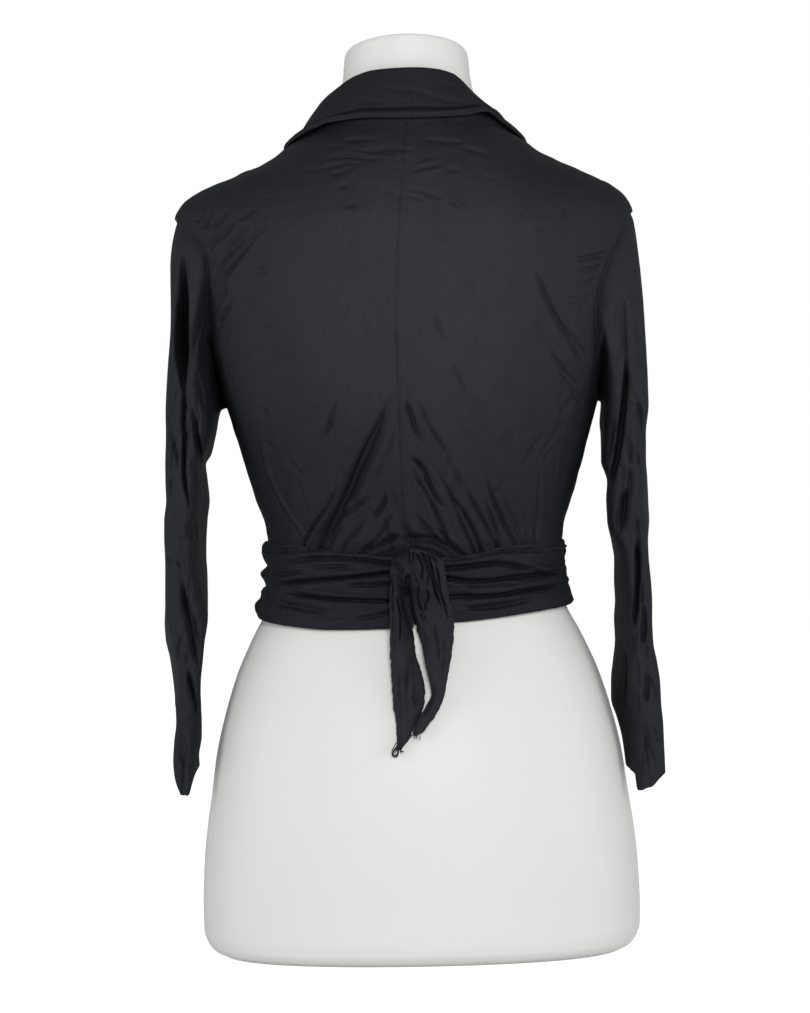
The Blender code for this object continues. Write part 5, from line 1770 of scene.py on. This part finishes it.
studio = {
    "camera": (0.0077, 2.6, 0.3585),
    "lens": 114.08,
    "roll": 1.06,  # degrees
    "floor": 0.92,  # how white
    "floorHalf": 6.0,
    "floorGlow": 0.8,
    "around": 0.29,  # strength of the light from all round
    "lights": (
        # name, place, aim, size across and up, power in watts
        ("key", (-0.3, 2.8, 0.98), (0, 0, 0.42), (0.6, 0.6), 38),
        ("left", (2.25, 1.05, 0.7), (0, 0, 0.4), (0.9, 1.4), 19),
        ("right", (-2.25, 1.05, 0.7), (0, 0, 0.4), (0.9, 1.4), 17),
    ),
}


def makeWorld():
    # plain white to the camera, and a softer light on the piece
    world = bpy.data.worlds.new("studio")
    world.use_nodes = True
    bpy.context.scene.world = world
    tree = world.node_tree
    around = tree.nodes["Background"]
    feed(tree, around, {"Color": (0.96, 0.98, 1, 1), "Strength": studio["around"]})
    seen = addNode(tree, "Background", {"Color": (1, 1, 1, 1), "Strength": 1})["Background"]
    toCamera = addNode(tree, "LightPath", {})["Is Camera Ray"]
    mix = addNode(tree, "MixShader", {"Fac": toCamera, 1: around.outputs["Background"], 2: seen})
    feed(tree, tree.nodes["World Output"], {"Surface": mix["Shader"]})


def makeFloor():
    half = studio["floorHalf"]
    mesh = bpy.data.meshes.new("floor")
    corners = [(-half, -half, 0), (half, -half, 0), (half, half, 0), (-half, half, 0)]
    mesh.from_pydata(corners, [], [(0, 1, 2, 3)])
    floor = addObject("floor", mesh)
    floor.location.z = -0.0005
    material, tree, shader = newMaterial("floor")
    toCamera = addNode(tree, "LightPath", {})["Is Camera Ray"]
    glow = addMath(tree, "MULTIPLY", toCamera, studio["floorGlow"])
    feed(tree, shader, {"Base Color": (*[studio["floor"]] * 3, 1), "Roughness": 0.9})
    feed(tree, shader, {"Emission Color": (1, 1, 1, 1), "Emission Strength": glow})
    mesh.materials.append(material)
    floor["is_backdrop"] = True


def makeLights():
    for name, place, target, size, power in studio["lights"]:
        light = bpy.data.lights.new(name, "AREA")
        light.shape = "RECTANGLE"
        light.size, light.size_y = size
        light.energy = power
        lamp = addObject(name, light)
        lamp.location = place
        lamp.rotation_euler = (Vector(target) - Vector(place)).to_track_quat("-Z", "Y").to_euler()


def makeCamera():
    scene = bpy.context.scene
    scene.view_settings.view_transform = "Standard"
    camera = addObject("camera", bpy.data.cameras.new("camera"))
    camera.data.lens = studio["lens"]
    camera.data.sensor_width = 36
    camera.location = studio["camera"]
    camera.rotation_euler = (math.radians(90), math.radians(studio["roll"]), math.radians(180))
    scene.camera = camera


makeMaterials()
print("materials done")
makeForm()
print("form done")
for name in sides:
    makeBack(name)
    makeFront(name)
    makeSleeve(name)
    makeCollar(name)
    makeBand(name)
    print("cloth done:", name)
makeKnot()
for name in sides:
    makeTail(name)
print("knot and tails done")
for make in (makeWorld, makeFloor, makeLights, makeCamera):
    make()
print("stage done")
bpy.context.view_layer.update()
triangles = 0
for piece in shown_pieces():
    if piece.type == "MESH":
        solid = sum(m.type == "SOLIDIFY" for m in piece.modifiers)
        triangles += 2 * len(piece.data.polygons) * (1 + solid)
print("triangles, about:", triangles)
